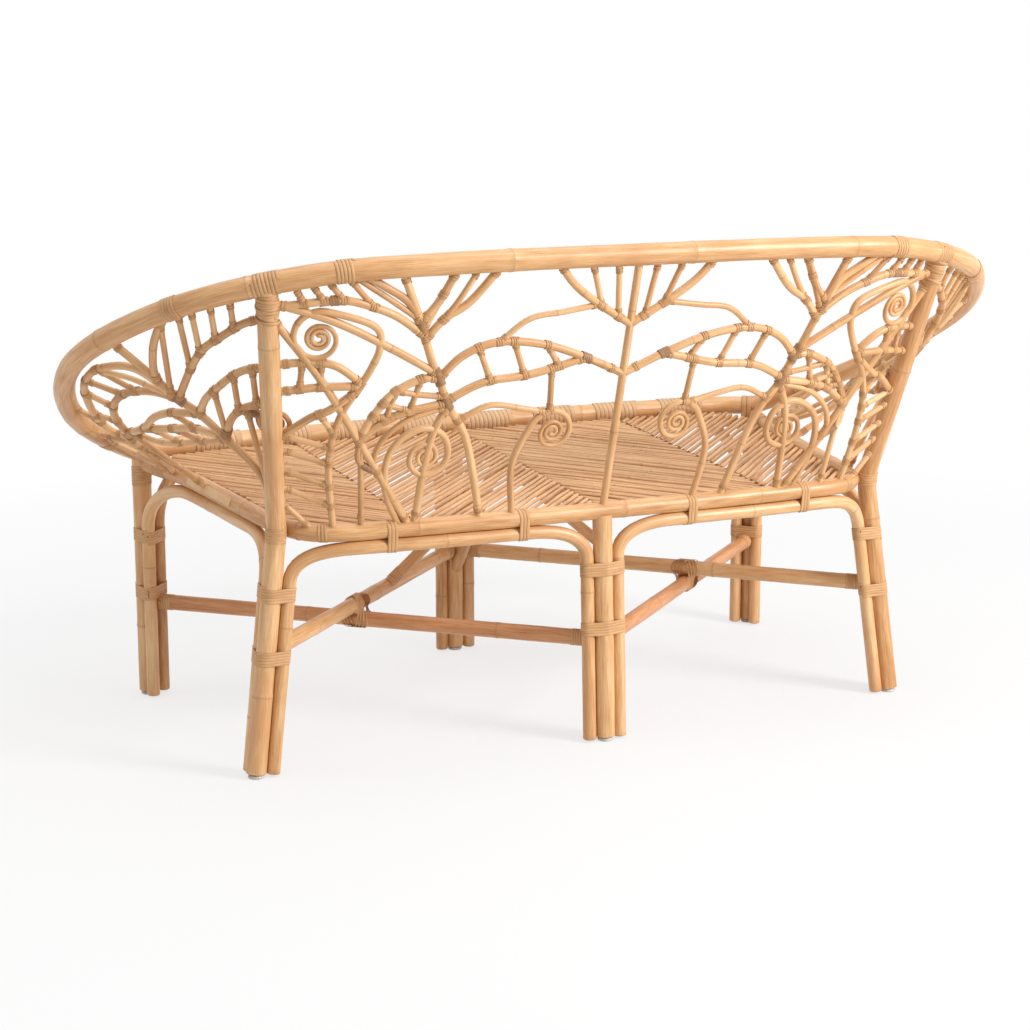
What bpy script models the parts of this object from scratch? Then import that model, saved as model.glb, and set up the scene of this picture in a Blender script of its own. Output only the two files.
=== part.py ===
"""Rattan sofa: a tilted hoop that makes the arms and the back, six bundled legs, a pole seat
and scroll and leaf wickerwork between the seat rail and the hoop.

Metres, +Z up.  +X is the sitter's left, the front faces -Y, the floor is z = 0.
"""

import bpy
import bmesh
import numpy as np

FIT_GAP = 0.0003             # clearance between pieces that touch

# Pole thicknesses
HOOP_D = 0.034
SEAT_RAIL_D = 0.028
SUPPORT_D = 0.020
LEG_D = 0.032
ARCH_D = 0.022
STRETCHER_D = 0.026
BEARER_D = 0.022
STRUT_D = 0.020
STEM_D = 0.010
RUNG_D = 0.008
SCROLL_D = 0.009

# Hoop and front rail, one ring in plan, butted over the front legs
FRONT_HALF = 0.605           # front leg, out from the middle
FRONT_LEG_Y = -0.315
FRONT_BULGE = 0.050          # front rail ahead of the front legs at the middle
HOOP_HALF = 0.805            # widest place of the hoop
HOOP_BACK_Y = 0.367
CORNER_Z = 0.430             # ring centre over the front legs
HOOP_RISE = 0.372            # hoop centre at the back above the corners
HOOP_EASE = 0.11             # share of the rise that eases off towards the back
BUTT_AHEAD = 0.010           # hoop ends this far past the leg's centre
# Bending pins of the hoop: share of HOOP_HALF, share of the way from the corners to the back
HOOP_PINS = ((0.94, 0.24), (1.0, 0.55), (0.875, 0.815), (0.65, 0.96), (0.40, 0.995))
# Bending pins of the front rail: share of FRONT_HALF, share of FRONT_BULGE
FRONT_PINS = ((0.80, 0.70), (0.45, 0.93))

# Seat rail and seat, on one plane that falls to the back
SEAT_FRONT_Z = 0.412
SEAT_BACK_Z = 0.380
RAIL_START = (0.600, -0.294)
RAIL_BACK_Y = 0.244
RAIL_SIDE = ((0.563, -0.159), (0.534, 0.061), (0.516, 0.165))
RAIL_TURN = ((0.470, 0.224), (0.350, 0.238), (0.180, 0.243))
SUPPORT_DROP = 0.010         # support ring centre below the seat plane
SUPPORT_FRONT_IN = 0.0268    # support ring behind the front rail's centre
SEAT_T = 0.0084              # over the seat's poles
SEAT_WEB = 0.0030            # left in the grooves between them
SEAT_EDGE = 0.0004           # seat edge to the rails
SLAT_PITCH = 0.017           # of the seat's poles, along a spine
SPINE_X = 0.320              # spine where two fields of poles meet, out from the middle one

# Legs
GLIDE_D = 0.026
GLIDE_H = 0.006
ARCH_FOOT_Z = 0.004
LEG_SEAT = 0.006             # leg tops stop this far below the pole they carry
BACK_FOOT = (0.582, 0.212)
BACK_MID_SPLAY = 0.018       # middle back leg's foot behind its top
POST_DIR = (0.83, 0.55)      # the post stands on this side of the seat rail
POST_RAIL = (0.514, 0.179)   # seat rail place that the post passes
POST_BEND = 0.030
POST_HOOP_SHARE = 0.7242     # hoop place that the post carries, as a share of HOOP_HALF

# Arched braces
ARCH_TURN_Z = 0.302          # where an arch leaves its leg
ARCH_RUN = 0.125             # where it comes up under the rail, from the leg

# Stretchers, struts, bearer
STRETCHER_Z = 0.168          # lower stretcher of each cross
STRETCHER_END = 0.0205       # stretcher end from the leg's centre
STRUT_Y = -0.130
STRUT_END = 0.010            # strut end from the bearer's centre
BRACE_FOOT_Z = 0.150
BRACE_TOP_Y = -0.165

# Bindings round the leg bundles
BINDING_Z = (0.188, 0.286)
BINDING_H = 0.020
BINDING_T = 0.002

# Fineness
RING_SIDES = 8
ARCH_SIDES = 6
STEM_SIDES = 5
RUNG_SIDES = 4
STEM_STEP = 0.065
SCROLL_POINTS = 11          # to a turn

HONEY = (0.66, 0.42, 0.20)
HONEY_DEEP = (0.58, 0.34, 0.15)
PEEL = (0.62, 0.43, 0.25)
PALE = (0.85, 0.85, 0.83)

for old in list(bpy.data.objects):
    bpy.data.objects.remove(old, do_unlink=True)


# Paths

def spline(points, per=10, closed=False):
    """Catmull-Rom curve through the points."""
    p = [np.array(q, float) for q in points]
    if closed:
        p = [p[-1]] + p + [p[0], p[1]]
    else:
        p = [2 * p[0] - p[1]] + p + [2 * p[-1] - p[-2]]
    out = []
    for a, b, c, d in zip(p, p[1:], p[2:], p[3:]):
        for t in np.linspace(0, 1, per, endpoint=False):
            out.append(0.5 * (2 * b + (c - a) * t + (2 * a - 5 * b + 4 * c - d) * t ** 2
                              + (3 * b - a - 3 * c + d) * t ** 3))
    if not closed:
        out.append(p[-2])
    return np.array(out)


def lengths(path):
    return np.concatenate([[0], np.cumsum(np.linalg.norm(np.diff(path, axis=0), axis=1))])


def along(path, distance):
    """Points at the given distances along a path."""
    s = lengths(path)
    return np.stack([np.interp(distance, s, path[:, k]) for k in range(path.shape[1])], -1)


def evenly(path, count):
    return along(path, np.linspace(0, lengths(path)[-1], count))


def nearest(path, point):
    """Distance along a path to its place nearest a point."""
    s = lengths(path)
    fine = np.linspace(0, s[-1], 4000)
    return fine[np.argmin(np.linalg.norm(along(path, fine) - np.array(point), axis=1))]


def hermite(a, da, b, db, count):
    t = np.linspace(0, 1, count)[:, None]
    return ((2 * t ** 3 - 3 * t ** 2 + 1) * a + (t ** 3 - 2 * t ** 2 + t) * da
            + (3 * t ** 2 - 2 * t ** 3) * b + (t ** 3 - t ** 2) * db)


def flip(path, side):
    return np.array(path, float) * (side, 1, 1)


def unit(v):
    v = np.array(v, float)
    return v / np.linalg.norm(v)


# Solids

POLES = {}                   # how each round pole was made


def make_object(name, verts, faces, colour, rough):
    mesh = bpy.data.meshes.new(name)
    mesh.from_pydata([tuple(v) for v in verts], [], faces)
    bm = bmesh.new()
    bm.from_mesh(mesh)
    bmesh.ops.recalc_face_normals(bm, faces=bm.faces)
    bm.to_mesh(mesh)
    bm.free()
    obj = bpy.data.objects.new(name, mesh)
    bpy.context.scene.collection.objects.link(obj)
    paint(obj, name, colour, rough)
    return obj


def paint(obj, name, colour, rough):
    mat = bpy.data.materials.new(name)
    mat.use_nodes = True
    shader = mat.node_tree.nodes["Principled BSDF"]
    shader.inputs["Base Color"].default_value = (*colour, 1)
    shader.inputs["Roughness"].default_value = rough
    shader.inputs["Metallic"].default_value = 0.0
    obj.data.materials.clear()
    obj.data.materials.append(mat)


def tube(name, path, diameter, sides, colour=HONEY, closed=False,
         flat=(None, None), square=(None, None), grow=0.0):
    """Round pole along a path.  flat gives the heights of ends cut level, square the directions
    that ends face; grow is a clearance added all round, measured square to the facets."""
    path = np.array(path, float)
    radius = diameter / 2 + grow / np.cos(np.pi / sides)
    n = len(path)
    if closed:
        tangents = np.roll(path, -1, axis=0) - np.roll(path, 1, axis=0)
    else:
        tangents = np.gradient(path, axis=0)
        for end, way in zip((0, -1), square):
            tangents[end] = tangents[end] if way is None else way
    tangents /= np.linalg.norm(tangents, axis=1)[:, None]
    normal = np.cross(tangents[0], (0, 0, 1))
    if np.linalg.norm(normal) < 0.2:
        normal = np.cross(tangents[0], (0, 1, 0))
    normal = unit(normal)
    frames = []
    for t in tangents:
        normal = unit(normal - t * np.dot(normal, t))
        frames.append((normal, np.cross(t, normal)))
    twist = 0.0
    if closed:
        last = unit(frames[-1][0] - tangents[0] * np.dot(frames[-1][0], tangents[0]))
        twist = np.arctan2(np.dot(last, frames[0][1]), np.dot(last, frames[0][0]))
    verts = []
    for i in range(n):
        for k in range(sides):
            a = 2 * np.pi * k / sides - twist * i / n
            verts.append(path[i] + radius * (np.cos(a) * frames[i][0] + np.sin(a) * frames[i][1]))
    verts = np.array(verts)
    for end, level in ((0, flat[0]), (n - 1, flat[1])):
        if level is not None:
            ring = slice(end * sides, (end + 1) * sides)
            verts[ring] += tangents[end] * ((level - verts[ring, 2]) / tangents[end][2])[:, None]
    faces = []
    for i in range(n if closed else n - 1):
        j = (i + 1) % n
        for k in range(sides):
            m = (k + 1) % sides
            faces.append((i * sides + k, i * sides + m, j * sides + m, j * sides + k))
    if not closed:
        faces.append(tuple(range(sides - 1, -1, -1)))
        faces.append(tuple((n - 1) * sides + k for k in range(sides)))
    obj = make_object(name, verts, faces, colour, 0.45)
    POLES[obj] = dict(path=path, diameter=diameter, sides=sides, closed=closed,
                      flat=flat, square=square)
    return obj


def grown(obj):
    """A copy of a pole, larger by the clearance, to cut its neighbours with."""
    cutter = tube("cutter", **POLES[obj], grow=FIT_GAP)
    cutter.hide_render = True
    cutter.display_type = "WIRE"
    return cutter


def settle(obj):
    """Keep the evaluated mesh and drop the modifiers."""
    graph = bpy.context.evaluated_depsgraph_get()
    mesh = bpy.data.meshes.new_from_object(obj.evaluated_get(graph))
    obj.modifiers.clear()
    obj.data = mesh


def cut(obj, cutters, operation="DIFFERENCE"):
    for cutter in cutters:
        mod = obj.modifiers.new("cut", "BOOLEAN")
        mod.operation = operation
        mod.solver = "EXACT"
        mod.object = cutter
    settle(obj)
    for cutter in cutters:
        bpy.data.objects.remove(cutter, do_unlink=True)


def cope(obj, *neighbours):
    """Cut a piece to fit the poles that it meets."""
    cut(obj, [grown(n) for n in neighbours])


def fuse(obj, others):
    """Join tubes that cross into one body."""
    group = bpy.data.collections.new("fuse")
    bpy.context.scene.collection.children.link(group)
    for o in others:
        group.objects.link(o)
    mod = obj.modifiers.new("fuse", "BOOLEAN")
    mod.operation = "UNION"
    mod.solver = "EXACT"
    mod.operand_type = "COLLECTION"
    mod.collection = group
    settle(obj)
    for o in others:
        bpy.data.objects.remove(o, do_unlink=True)
    bpy.data.collections.remove(group)


def smooth(obj):
    obj.data.shade_smooth()
    obj.data.set_sharp_from_angle(angle=0.7)


# Ring of the hoop and the front rail

def hoop_height(y):
    f = max(0.0, (y - FRONT_LEG_Y) / (HOOP_BACK_Y - FRONT_LEG_Y))
    return CORNER_Z + HOOP_RISE * ((1 + HOOP_EASE) * f - HOOP_EASE * f * f)


hoop_depth = HOOP_BACK_Y - FRONT_LEG_Y
half = [(0.0, HOOP_BACK_Y)]
half += [(a * HOOP_HALF, FRONT_LEG_Y + b * hoop_depth) for a, b in reversed(HOOP_PINS)]
half += [(FRONT_HALF, FRONT_LEG_Y)]
half += [(a * FRONT_HALF, FRONT_LEG_Y - b * FRONT_BULGE) for a, b in FRONT_PINS]
half += [(0.0, FRONT_LEG_Y - FRONT_BULGE)]
ring = half + [(-x, y) for x, y in half[-2:0:-1]]
ring = spline(ring, per=24, closed=True)
ring = np.vstack([ring, ring[:1]])
ring = np.column_stack([ring, [hoop_height(y) for y in ring[:, 1]]])
ring_length = lengths(ring)[-1]
corner_at = nearest(ring, (FRONT_HALF, FRONT_LEG_Y, CORNER_Z))
joint_at = corner_at + BUTT_AHEAD
front_mid_y = FRONT_LEG_Y - FRONT_BULGE

# The hoop runs round the back from the right joint to the left joint
back_out = along(ring, np.linspace(0, joint_at - FIT_GAP / 2, 26))
hoop_path = np.vstack([flip(back_out[:0:-1], -1), back_out])
front_end = joint_at + FIT_GAP / 2
front_path = along(ring, np.linspace(front_end, ring_length - front_end, 21))
joint_way = unit(along(ring, joint_at + 0.002) - along(ring, joint_at - 0.002))
joint_back = joint_way * (-1, 1, 1)
hoop = tube("hoop", hoop_path, HOOP_D, RING_SIDES, square=(-joint_back, joint_way))
front_rail = tube("front_rail", front_path, HOOP_D, RING_SIDES, square=(joint_way, -joint_back))

# Seat rail, from behind one front leg round the back to the other


def seat_height(y):
    share = (y - RAIL_START[1]) / (RAIL_BACK_Y - RAIL_START[1])
    return SEAT_FRONT_Z + share * (SEAT_BACK_Z - SEAT_FRONT_Z)


rail_half = [RAIL_START, *RAIL_SIDE, *RAIL_TURN, (0.0, RAIL_BACK_Y)]
rail_plan = rail_half + [(-x, y) for x, y in rail_half[-2::-1]]
rail_curve = spline(rail_plan, per=16)
rail_curve = np.column_stack([rail_curve, [seat_height(y) for y in rail_curve[:, 1]]])
rail_mid = lengths(rail_curve)[-1] / 2
seat_rail = tube("seat_rail", evenly(rail_curve, 43), SEAT_RAIL_D, 8)

# Support ring under the seat, just inside the rails


def inset(path, gap):
    """Path moved sideways towards the middle of the seat, in plan."""
    t = np.gradient(path, axis=0)
    side = np.column_stack([-t[:, 1], t[:, 0]])
    side /= np.linalg.norm(side, axis=1)[:, None]
    inward = -np.sign((side * path[:, :2]).sum(axis=1))
    return path[:, :2] + side * inward[:, None] * gap


def seat_loop(rail_gap, front_gap, count):
    """Loop inside the seat rail and the front rail, in plan, running one way round."""
    rail = along(rail_curve, np.linspace(0.05, 2 * rail_mid - 0.05, 41))
    front = along(ring, np.linspace(joint_at + 0.05, ring_length - joint_at - 0.05, 21))
    loop = np.vstack([inset(rail, rail_gap), inset(front, front_gap)[::-1]])
    return evenly(spline(loop, per=4, closed=True), count + 1)[:-1]


support_in = np.sqrt((SEAT_RAIL_D / 2 + SUPPORT_D / 2 + FIT_GAP) ** 2 - SUPPORT_DROP ** 2)
support_plan = seat_loop(support_in, SUPPORT_FRONT_IN, 44)
support_z = [seat_height(y) - SUPPORT_DROP for y in support_plan[:, 1]]
support_path = np.column_stack([support_plan, support_z])
support = tube("seat_support", support_path, SUPPORT_D, 6, HONEY_DEEP, closed=True)

# Legs: a main pole each; the back corner legs go on up to the hoop as posts

foot_z = GLIDE_H + FIT_GAP


def straight(a, b, count=2):
    return np.linspace(np.array(a, float), np.array(b, float), count)


hoop_run = lengths(back_out)
widest = np.argmax(back_out[:, 0]) + 1
post_top = along(back_out, np.interp(POST_HOOP_SHARE * HOOP_HALF, back_out[:widest, 0], hoop_run[:widest]))
post_dir = unit((*POST_DIR, 0))
post_rail_at = nearest(rail_curve, (*POST_RAIL, seat_height(POST_RAIL[1])))
post_rail = along(rail_curve, post_rail_at)
back_foot = np.array((*BACK_FOOT, foot_z))


def post_line(out):
    knee = post_rail + post_dir * out
    low = knee + unit(back_foot - knee) * POST_BEND
    high = knee + unit(post_top - knee) * POST_BEND
    t = np.linspace(0, 1, 5)[:, None]
    bend = low * (1 - t) ** 2 + knee * 2 * t * (1 - t) + high * t ** 2
    return knee, np.vstack([back_foot, bend, post_top])


# The post is moved out until it just clears the seat rail
post_out = LEG_D / 2 + SEAT_RAIL_D / 2
for _ in range(8):
    knee, post_path = post_line(post_out)
    fine_post = evenly(post_path, 200)
    fine_rail = along(rail_curve, np.linspace(post_rail_at - 0.05, post_rail_at + 0.05, 200))
    clear = np.min(np.linalg.norm(fine_post[:, None] - fine_rail[None], axis=2))
    post_out += LEG_D / 2 + SEAT_RAIL_D / 2 + FIT_GAP - clear

back_mid_top = np.array((0, RAIL_BACK_Y, SEAT_BACK_Z - LEG_SEAT))
back_mid_foot = np.array((0, RAIL_BACK_Y + BACK_MID_SPLAY, foot_z))
LEGS = {}
for side, hand in ((1, "left"), (-1, "right")):
    foot = np.array((side * FRONT_HALF, FRONT_LEG_Y, foot_z))
    top = foot + (0, 0, CORNER_Z - LEG_SEAT - foot_z)
    LEGS["front_" + hand] = dict(foot=foot, top=top, path=straight(foot, top),
                                 carries=[hoop, front_rail])
    path = flip(post_path, side)
    LEGS["back_" + hand] = dict(foot=path[0], top=flip(knee, side), path=path, carries=[hoop])
front_mid_foot = np.array((0, front_mid_y, foot_z))
front_mid_top = np.array((0, front_mid_y, CORNER_Z - LEG_SEAT))
LEGS["front_middle"] = dict(foot=front_mid_foot, top=front_mid_top,
                            path=straight(front_mid_foot, front_mid_top), carries=[front_rail])
LEGS["back_middle"] = dict(foot=back_mid_foot, top=back_mid_top,
                           path=straight(back_mid_foot, back_mid_top), carries=[seat_rail])

for name, leg in LEGS.items():
    leg["pole"] = tube("leg_" + name, leg["path"], LEG_D, RING_SIDES, flat=(foot_z, None))
    leg["bundle"] = [np.zeros(3)]
    leg["beside"] = [leg["pole"]]
    x, y = leg["foot"][:2]
    tube("glide_" + name, straight((x, y, 0), (x, y, GLIDE_H)), GLIDE_D, 12, PALE)


def on_leg(leg, z):
    """Centre of a leg's main pole at a height below the seat."""
    t = (z - leg["foot"][2]) / (leg["top"][2] - leg["foot"][2])
    return leg["foot"] + t * (leg["top"] - leg["foot"])


# Arched braces: down beside each leg, and along under the rail between two legs


def arch(name, start, end, rail, begin, finish, rail_d):
    first, last = LEGS[start], LEGS[end]
    drop = np.array((0, 0, -(rail_d / 2 + ARCH_D / 2 + FIT_GAP)))
    beside = LEG_D / 2 + ARCH_D / 2 + FIT_GAP
    path = []
    way = 1 if finish > begin else -1
    for leg, other, at, turn in ((first, last, begin, way), (last, first, finish, -way)):
        towards = other["foot"] - leg["foot"]
        offset = unit((towards[0], towards[1], 0)) * beside
        leg["bundle"].append(offset)
        low = on_leg(leg, ARCH_FOOT_Z) + offset
        bend = on_leg(leg, ARCH_TURN_Z) + offset
        meet_at = at + turn * ARCH_RUN
        meet = along(rail, meet_at) + drop
        ahead = unit(along(rail, meet_at + turn * 0.004) + drop - meet)
        reach = np.linalg.norm(meet - bend) * 1.15
        corner = hermite(bend, unit(bend - low) * reach, meet, ahead * reach, 7)
        path.append(np.vstack([low, corner]))
    under = along(rail, np.linspace(begin + way * ARCH_RUN, finish - way * ARCH_RUN, 7))[1:-1] + drop
    full = np.vstack([path[0], under, path[1][::-1]])
    pole = tube("arch_" + name, full, ARCH_D, ARCH_SIDES, flat=(ARCH_FOOT_Z, ARCH_FOOT_Z))
    first["beside"].append(pole)
    last["beside"].append(pole)


ring_mid = ring_length / 2
rail_end = 2 * rail_mid
right_corner_at = ring_length - corner_at
right_post_at = rail_end - post_rail_at
arch("front_left", "front_left", "front_middle", ring, corner_at, ring_mid, HOOP_D)
arch("front_right", "front_right", "front_middle", ring, right_corner_at, ring_mid, HOOP_D)
arch("end_left", "front_left", "back_left", rail_curve, 0.0, post_rail_at, SEAT_RAIL_D)
arch("end_right", "front_right", "back_right", rail_curve, rail_end, right_post_at, SEAT_RAIL_D)
arch("back_left", "back_left", "back_middle", rail_curve, post_rail_at, rail_mid, SEAT_RAIL_D)
arch("back_right", "back_right", "back_middle", rail_curve, right_post_at, rail_mid, SEAT_RAIL_D)

# Stretchers: two crosses, each of one pole laid over another

over_z = STRETCHER_Z + STRETCHER_D + FIT_GAP


def stretcher(name, start, end, z):
    a, b = on_leg(LEGS[start], z), on_leg(LEGS[end], z)
    d = unit(b - a)
    line = straight(a + d * STRETCHER_END, b - d * STRETCHER_END)
    pole = tube("stretcher_" + name, line, STRETCHER_D, 8)
    cope(pole, *LEGS[start]["beside"], *LEGS[end]["beside"])
    for key in (start, end):
        LEGS[key].setdefault("joins", []).append(pole)
    return pole, a, b


over = {}
for side, hand in ((1, "left"), (-1, "right")):
    stretcher("low_" + hand, "front_" + hand, "back_middle", STRETCHER_Z)
    over[hand] = stretcher("high_" + hand, "back_" + hand, "front_middle", over_z)

# Bearer along the middle under the seat, two struts and a brace up to it

bearer_drop = BEARER_D / 2
near_middle = np.abs(support_path[:, 0]) < RAIL_TURN[1][0] / 2
bearer_front = support_path[near_middle, 1].min() + LEG_SEAT
bearer_back = support_path[near_middle, 1].max() - LEG_SEAT
bearer_line = [(0, y, seat_height(y) - bearer_drop) for y in (bearer_front, bearer_back)]
bearer = tube("seat_bearer", straight(*bearer_line), BEARER_D, 8, HONEY_DEEP)
cope(bearer, support, LEGS["front_middle"]["pole"], LEGS["back_middle"]["pole"])

for side, hand in ((1, "left"), (-1, "right")):
    pole, a, b = over[hand]
    foot = a + (b - a) * (STRUT_Y - a[1]) / (b[1] - a[1])
    top = np.array((0, STRUT_Y, seat_height(STRUT_Y) - bearer_drop))
    d = unit(top - foot)
    strut = tube("strut_" + hand, straight(foot + d * STRUT_END, top - d * STRUT_END), STRUT_D, 8)
    cope(strut, pole, bearer)
brace_foot = on_leg(LEGS["front_middle"], BRACE_FOOT_Z)
brace_top = np.array((0, BRACE_TOP_Y, seat_height(BRACE_TOP_Y) - bearer_drop))
d = unit(brace_top - brace_foot)
brace_line = straight(brace_foot + d * STRUT_END, brace_top - d * STRUT_END)
brace = tube("front_brace", brace_line, BEARER_D, 8)
cope(brace, LEGS["front_middle"]["pole"], bearer, over["left"][0], over["right"][0])
LEGS["front_middle"]["joins"].append(brace)

# Leg tops, rail ends and the support ring are cut to fit what they meet
for leg in LEGS.values():
    cope(leg["pole"], *leg["carries"])
front_poles = [LEGS[k]["pole"] for k in ("front_left", "front_right")]
cope(seat_rail, *front_poles, hoop)
cope(support, LEGS["front_middle"]["pole"], LEGS["back_middle"]["pole"])

# Bindings: a band round each leg bundle at two heights


def binding(name, leg, z):
    count = 20
    centre = on_leg(leg, z)
    axis = unit(leg["top"] - leg["foot"])
    radii = [LEG_D / 2] + [ARCH_D / 2] * (len(leg["bundle"]) - 1)
    loops = []
    for extra in (FIT_GAP * 1.6, FIT_GAP * 1.6 + BINDING_T):
        loop = []
        for k in range(count):
            way = np.array((np.cos(2 * np.pi * k / count), np.sin(2 * np.pi * k / count), 0))
            best = max(zip(leg["bundle"], radii), key=lambda c: np.dot(c[0], way) + c[1])
            loop.append(best[0] + way * (best[1] + extra))
        loops.append(np.array(loop))
    rise = axis / axis[2] * BINDING_H / 2
    inner, outer = loops
    verts = np.vstack([centre + inner - rise, centre + outer - rise,
                       centre + outer + rise, centre + inner + rise])
    faces = []
    for row in range(4):
        for k in range(count):
            m = (k + 1) % count
            nxt = (row + 1) % 4
            faces.append((row * count + k, row * count + m, nxt * count + m, nxt * count + k))
    obj = make_object("binding_" + name, verts, faces, PEEL, 0.6)
    cope(obj, *leg.get("joins", []))
    return obj


for name, leg in LEGS.items():
    for z, level in zip(BINDING_Z, ("low", "high")):
        smooth(binding(name + "_" + level, leg, z))

# Seat: a bed of thin poles in a herringbone of four fields, as one grooved board.
# Its rows of ridges and grooves lie on the spines and beyond the edges, and the outline is cut from it.


def on_seat(x, y, rise):
    return (x, y, seat_height(y) + FIT_GAP + rise)


seat_plan = seat_loop(SEAT_RAIL_D / 2 + SEAT_EDGE, HOOP_D / 2 + SEAT_EDGE, 48)
seat_half = seat_plan[:, 0].max() + SLAT_PITCH
field_run = max(SPINE_X, seat_half - SPINE_X)
rows_x = (-seat_half, -SPINE_X, 0.0, SPINE_X, seat_half)
ahead = int(np.ceil(field_run / SLAT_PITCH)) + 1
slat_count = ahead + int(np.ceil((RAIL_BACK_Y - seat_plan[:, 1].min()) / SLAT_PITCH)) + 1
per_row = 2 * slat_count + 1
verts, floor_verts = [], []
for x in rows_x:
    back_y = RAIL_BACK_Y + ahead * SLAT_PITCH - abs(abs(x) - SPINE_X)
    ys = back_y - np.arange(per_row) * SLAT_PITCH / 2
    verts += [on_seat(x, y, SEAT_T if i % 2 else SEAT_WEB) for i, y in enumerate(ys)]
    floor_verts += [on_seat(x, ys[0], 0), on_seat(x, ys[-1], 0)]
under = len(verts)
faces = []
for r in range(len(rows_x) - 1):
    a, b = r * per_row, (r + 1) * per_row
    c, d = under + 2 * r, under + 2 * r + 2
    faces += [(a + i, a + i + 1, b + i + 1, b + i) for i in range(per_row - 1)]
    faces += [(c, d, d + 1, c + 1), (a, b, d, c), (b + per_row - 1, a + per_row - 1, c + 1, d + 1)]
for r in (0, len(rows_x) - 1):
    faces.append((under + 2 * r, *range(r * per_row, (r + 1) * per_row), under + 2 * r + 1))
seat = make_object("seat", verts + floor_verts, faces, HONEY, 0.5)
count = len(seat_plan)
walls = [on_seat(x, y, rise) for rise in (-SEAT_T, 2 * SEAT_T) for x, y in seat_plan]
faces = [tuple(range(count - 1, -1, -1)), tuple(range(count, 2 * count))]
faces += [(k, (k + 1) % count, count + (k + 1) % count, count + k) for k in range(count)]
cut(seat, [make_object("seat_outline", walls, faces, HONEY, 0.5)], "INTERSECT")
cope(seat, *front_poles, LEGS["front_middle"]["pole"], hoop, front_rail, seat_rail)

# Wickerwork between the seat rail (v = 0) and the hoop (v = 1).
# u runs from a front corner (0) to the post (1) and on to the middle of the back (2).

hoop_line = back_out[::-1]
hoop_corner = lengths(hoop_line)[-1] - corner_at
hoop_post = nearest(hoop_line, post_top)
hoop_mid = lengths(hoop_line)[-1]


def place(u, v):
    if u > 2:
        return flip(place(4 - u, v), -1)
    if u < 1:
        below = along(rail_curve, u * post_rail_at)
        above = along(hoop_line, hoop_corner + u * (hoop_post - hoop_corner))
    else:
        below = along(rail_curve, post_rail_at + (u - 1) * (rail_mid - post_rail_at))
        above = along(hoop_line, hoop_post + (u - 1) * (hoop_mid - hoop_post))
    return below + (above - below) * v


def scroll(u, v, outer, turns, inner, start, way=1):
    """Flat spiral on the wickerwork: centre, outer radius, turns, inner radius, start angle."""
    centre = place(u, v)
    e1 = unit(place(u + 0.01, v) - place(u - 0.01, v))
    e2 = place(u, v + 0.01) - place(u, v - 0.01)
    e2 = unit(e2 - e1 * np.dot(e1, e2))
    count = int(SCROLL_POINTS * turns) + 1
    points = []
    for k in range(count):
        f = k / (count - 1)
        r = outer + (inner - outer) * f
        a = np.radians(start) + way * 2 * np.pi * turns * f
        points.append(centre + r * (np.cos(a) * e1 + np.sin(a) * e2))
    return np.array(points)


def self_gap(path, diameter):
    """Least clear space between the turns of a spiral."""
    fine = evenly(path, 500)
    s = lengths(fine)
    apart = np.linalg.norm(fine[:, None] - fine[None], axis=2)
    apart[np.abs(s[:, None] - s[None]) < 3 * diameter] = 1
    return apart.min() - diameter


# Poles that run into the post end this share of a panel from its centre, on either side of it
POST_REACH = 0.015
AT_POST = 1 - POST_REACH
PAST_POST = 1 + POST_REACH

# Stems and leaf outlines, bent through the points; straight rungs; scrolls
SIDE_STEMS = (
    ((0.68, 1.0), (0.71, 0.80), (0.745, 0.62), (0.78, 0.53), (0.83, 0.39), (0.92, 0.22), (0.94, 0.0)),
    ((0.745, 0.62), (0.69, 0.82), (0.61, 0.90), (0.54, 0.905), (0.48, 0.87), (0.39, 0.78), (0.35, 0.66),
     (0.40, 0.56), (0.46, 0.50)),
    ((0.745, 0.62), (0.69, 0.69), (0.62, 0.735), (0.55, 0.73), (0.48, 0.68), (0.44, 0.60), (0.46, 0.50)),
    ((0.72, 0.73), (0.735, 0.80), (0.77, 0.90), (0.82, 1.0)),
    ((0.75, 0.62), (0.82, 0.74), (0.86, 0.80), (0.90, 0.83), (0.95, 0.865), (AT_POST, 0.88)),
    ((0.78, 0.53), (0.70, 0.565), (0.63, 0.57), (0.55, 0.54), (0.46, 0.50)),
    ((0.83, 0.40), (0.74, 0.46), (0.62, 0.50), (0.55, 0.53)),
    ((0.78, 0.53), (0.82, 0.59), (0.86, 0.625), (0.90, 0.66), (0.94, 0.68), (AT_POST, 0.685)),
    ((0.83, 0.40), (0.87, 0.48), (0.91, 0.52), (0.95, 0.53), (AT_POST, 0.56)),
)
SIDE_RUNGS = (
    ((0.54, 0.905), (0.60, 0.74)), ((0.60, 0.90), (0.645, 0.73)), ((0.49, 0.87), (0.525, 0.72)),
    ((0.40, 0.79), (0.465, 0.66)), ((0.46, 0.50), (0.445, 0.10)), ((0.185, 0.78), (0.19, 0.0)),
    ((0.84, 1.0), (0.81, 0.745)), ((0.865, 1.0), (0.85, 0.795)), ((0.90, 1.0), (0.89, 0.83)),
    ((0.935, 1.0), (0.93, 0.86)), ((0.80, 0.95), (0.745, 0.66)), ((0.70, 0.565), (0.74, 0.46)),
    ((0.85, 0.615), (0.83, 0.42)), ((0.91, 0.66), (0.90, 0.51)), ((0.955, 0.68), (0.95, 0.53)),
)
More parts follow.
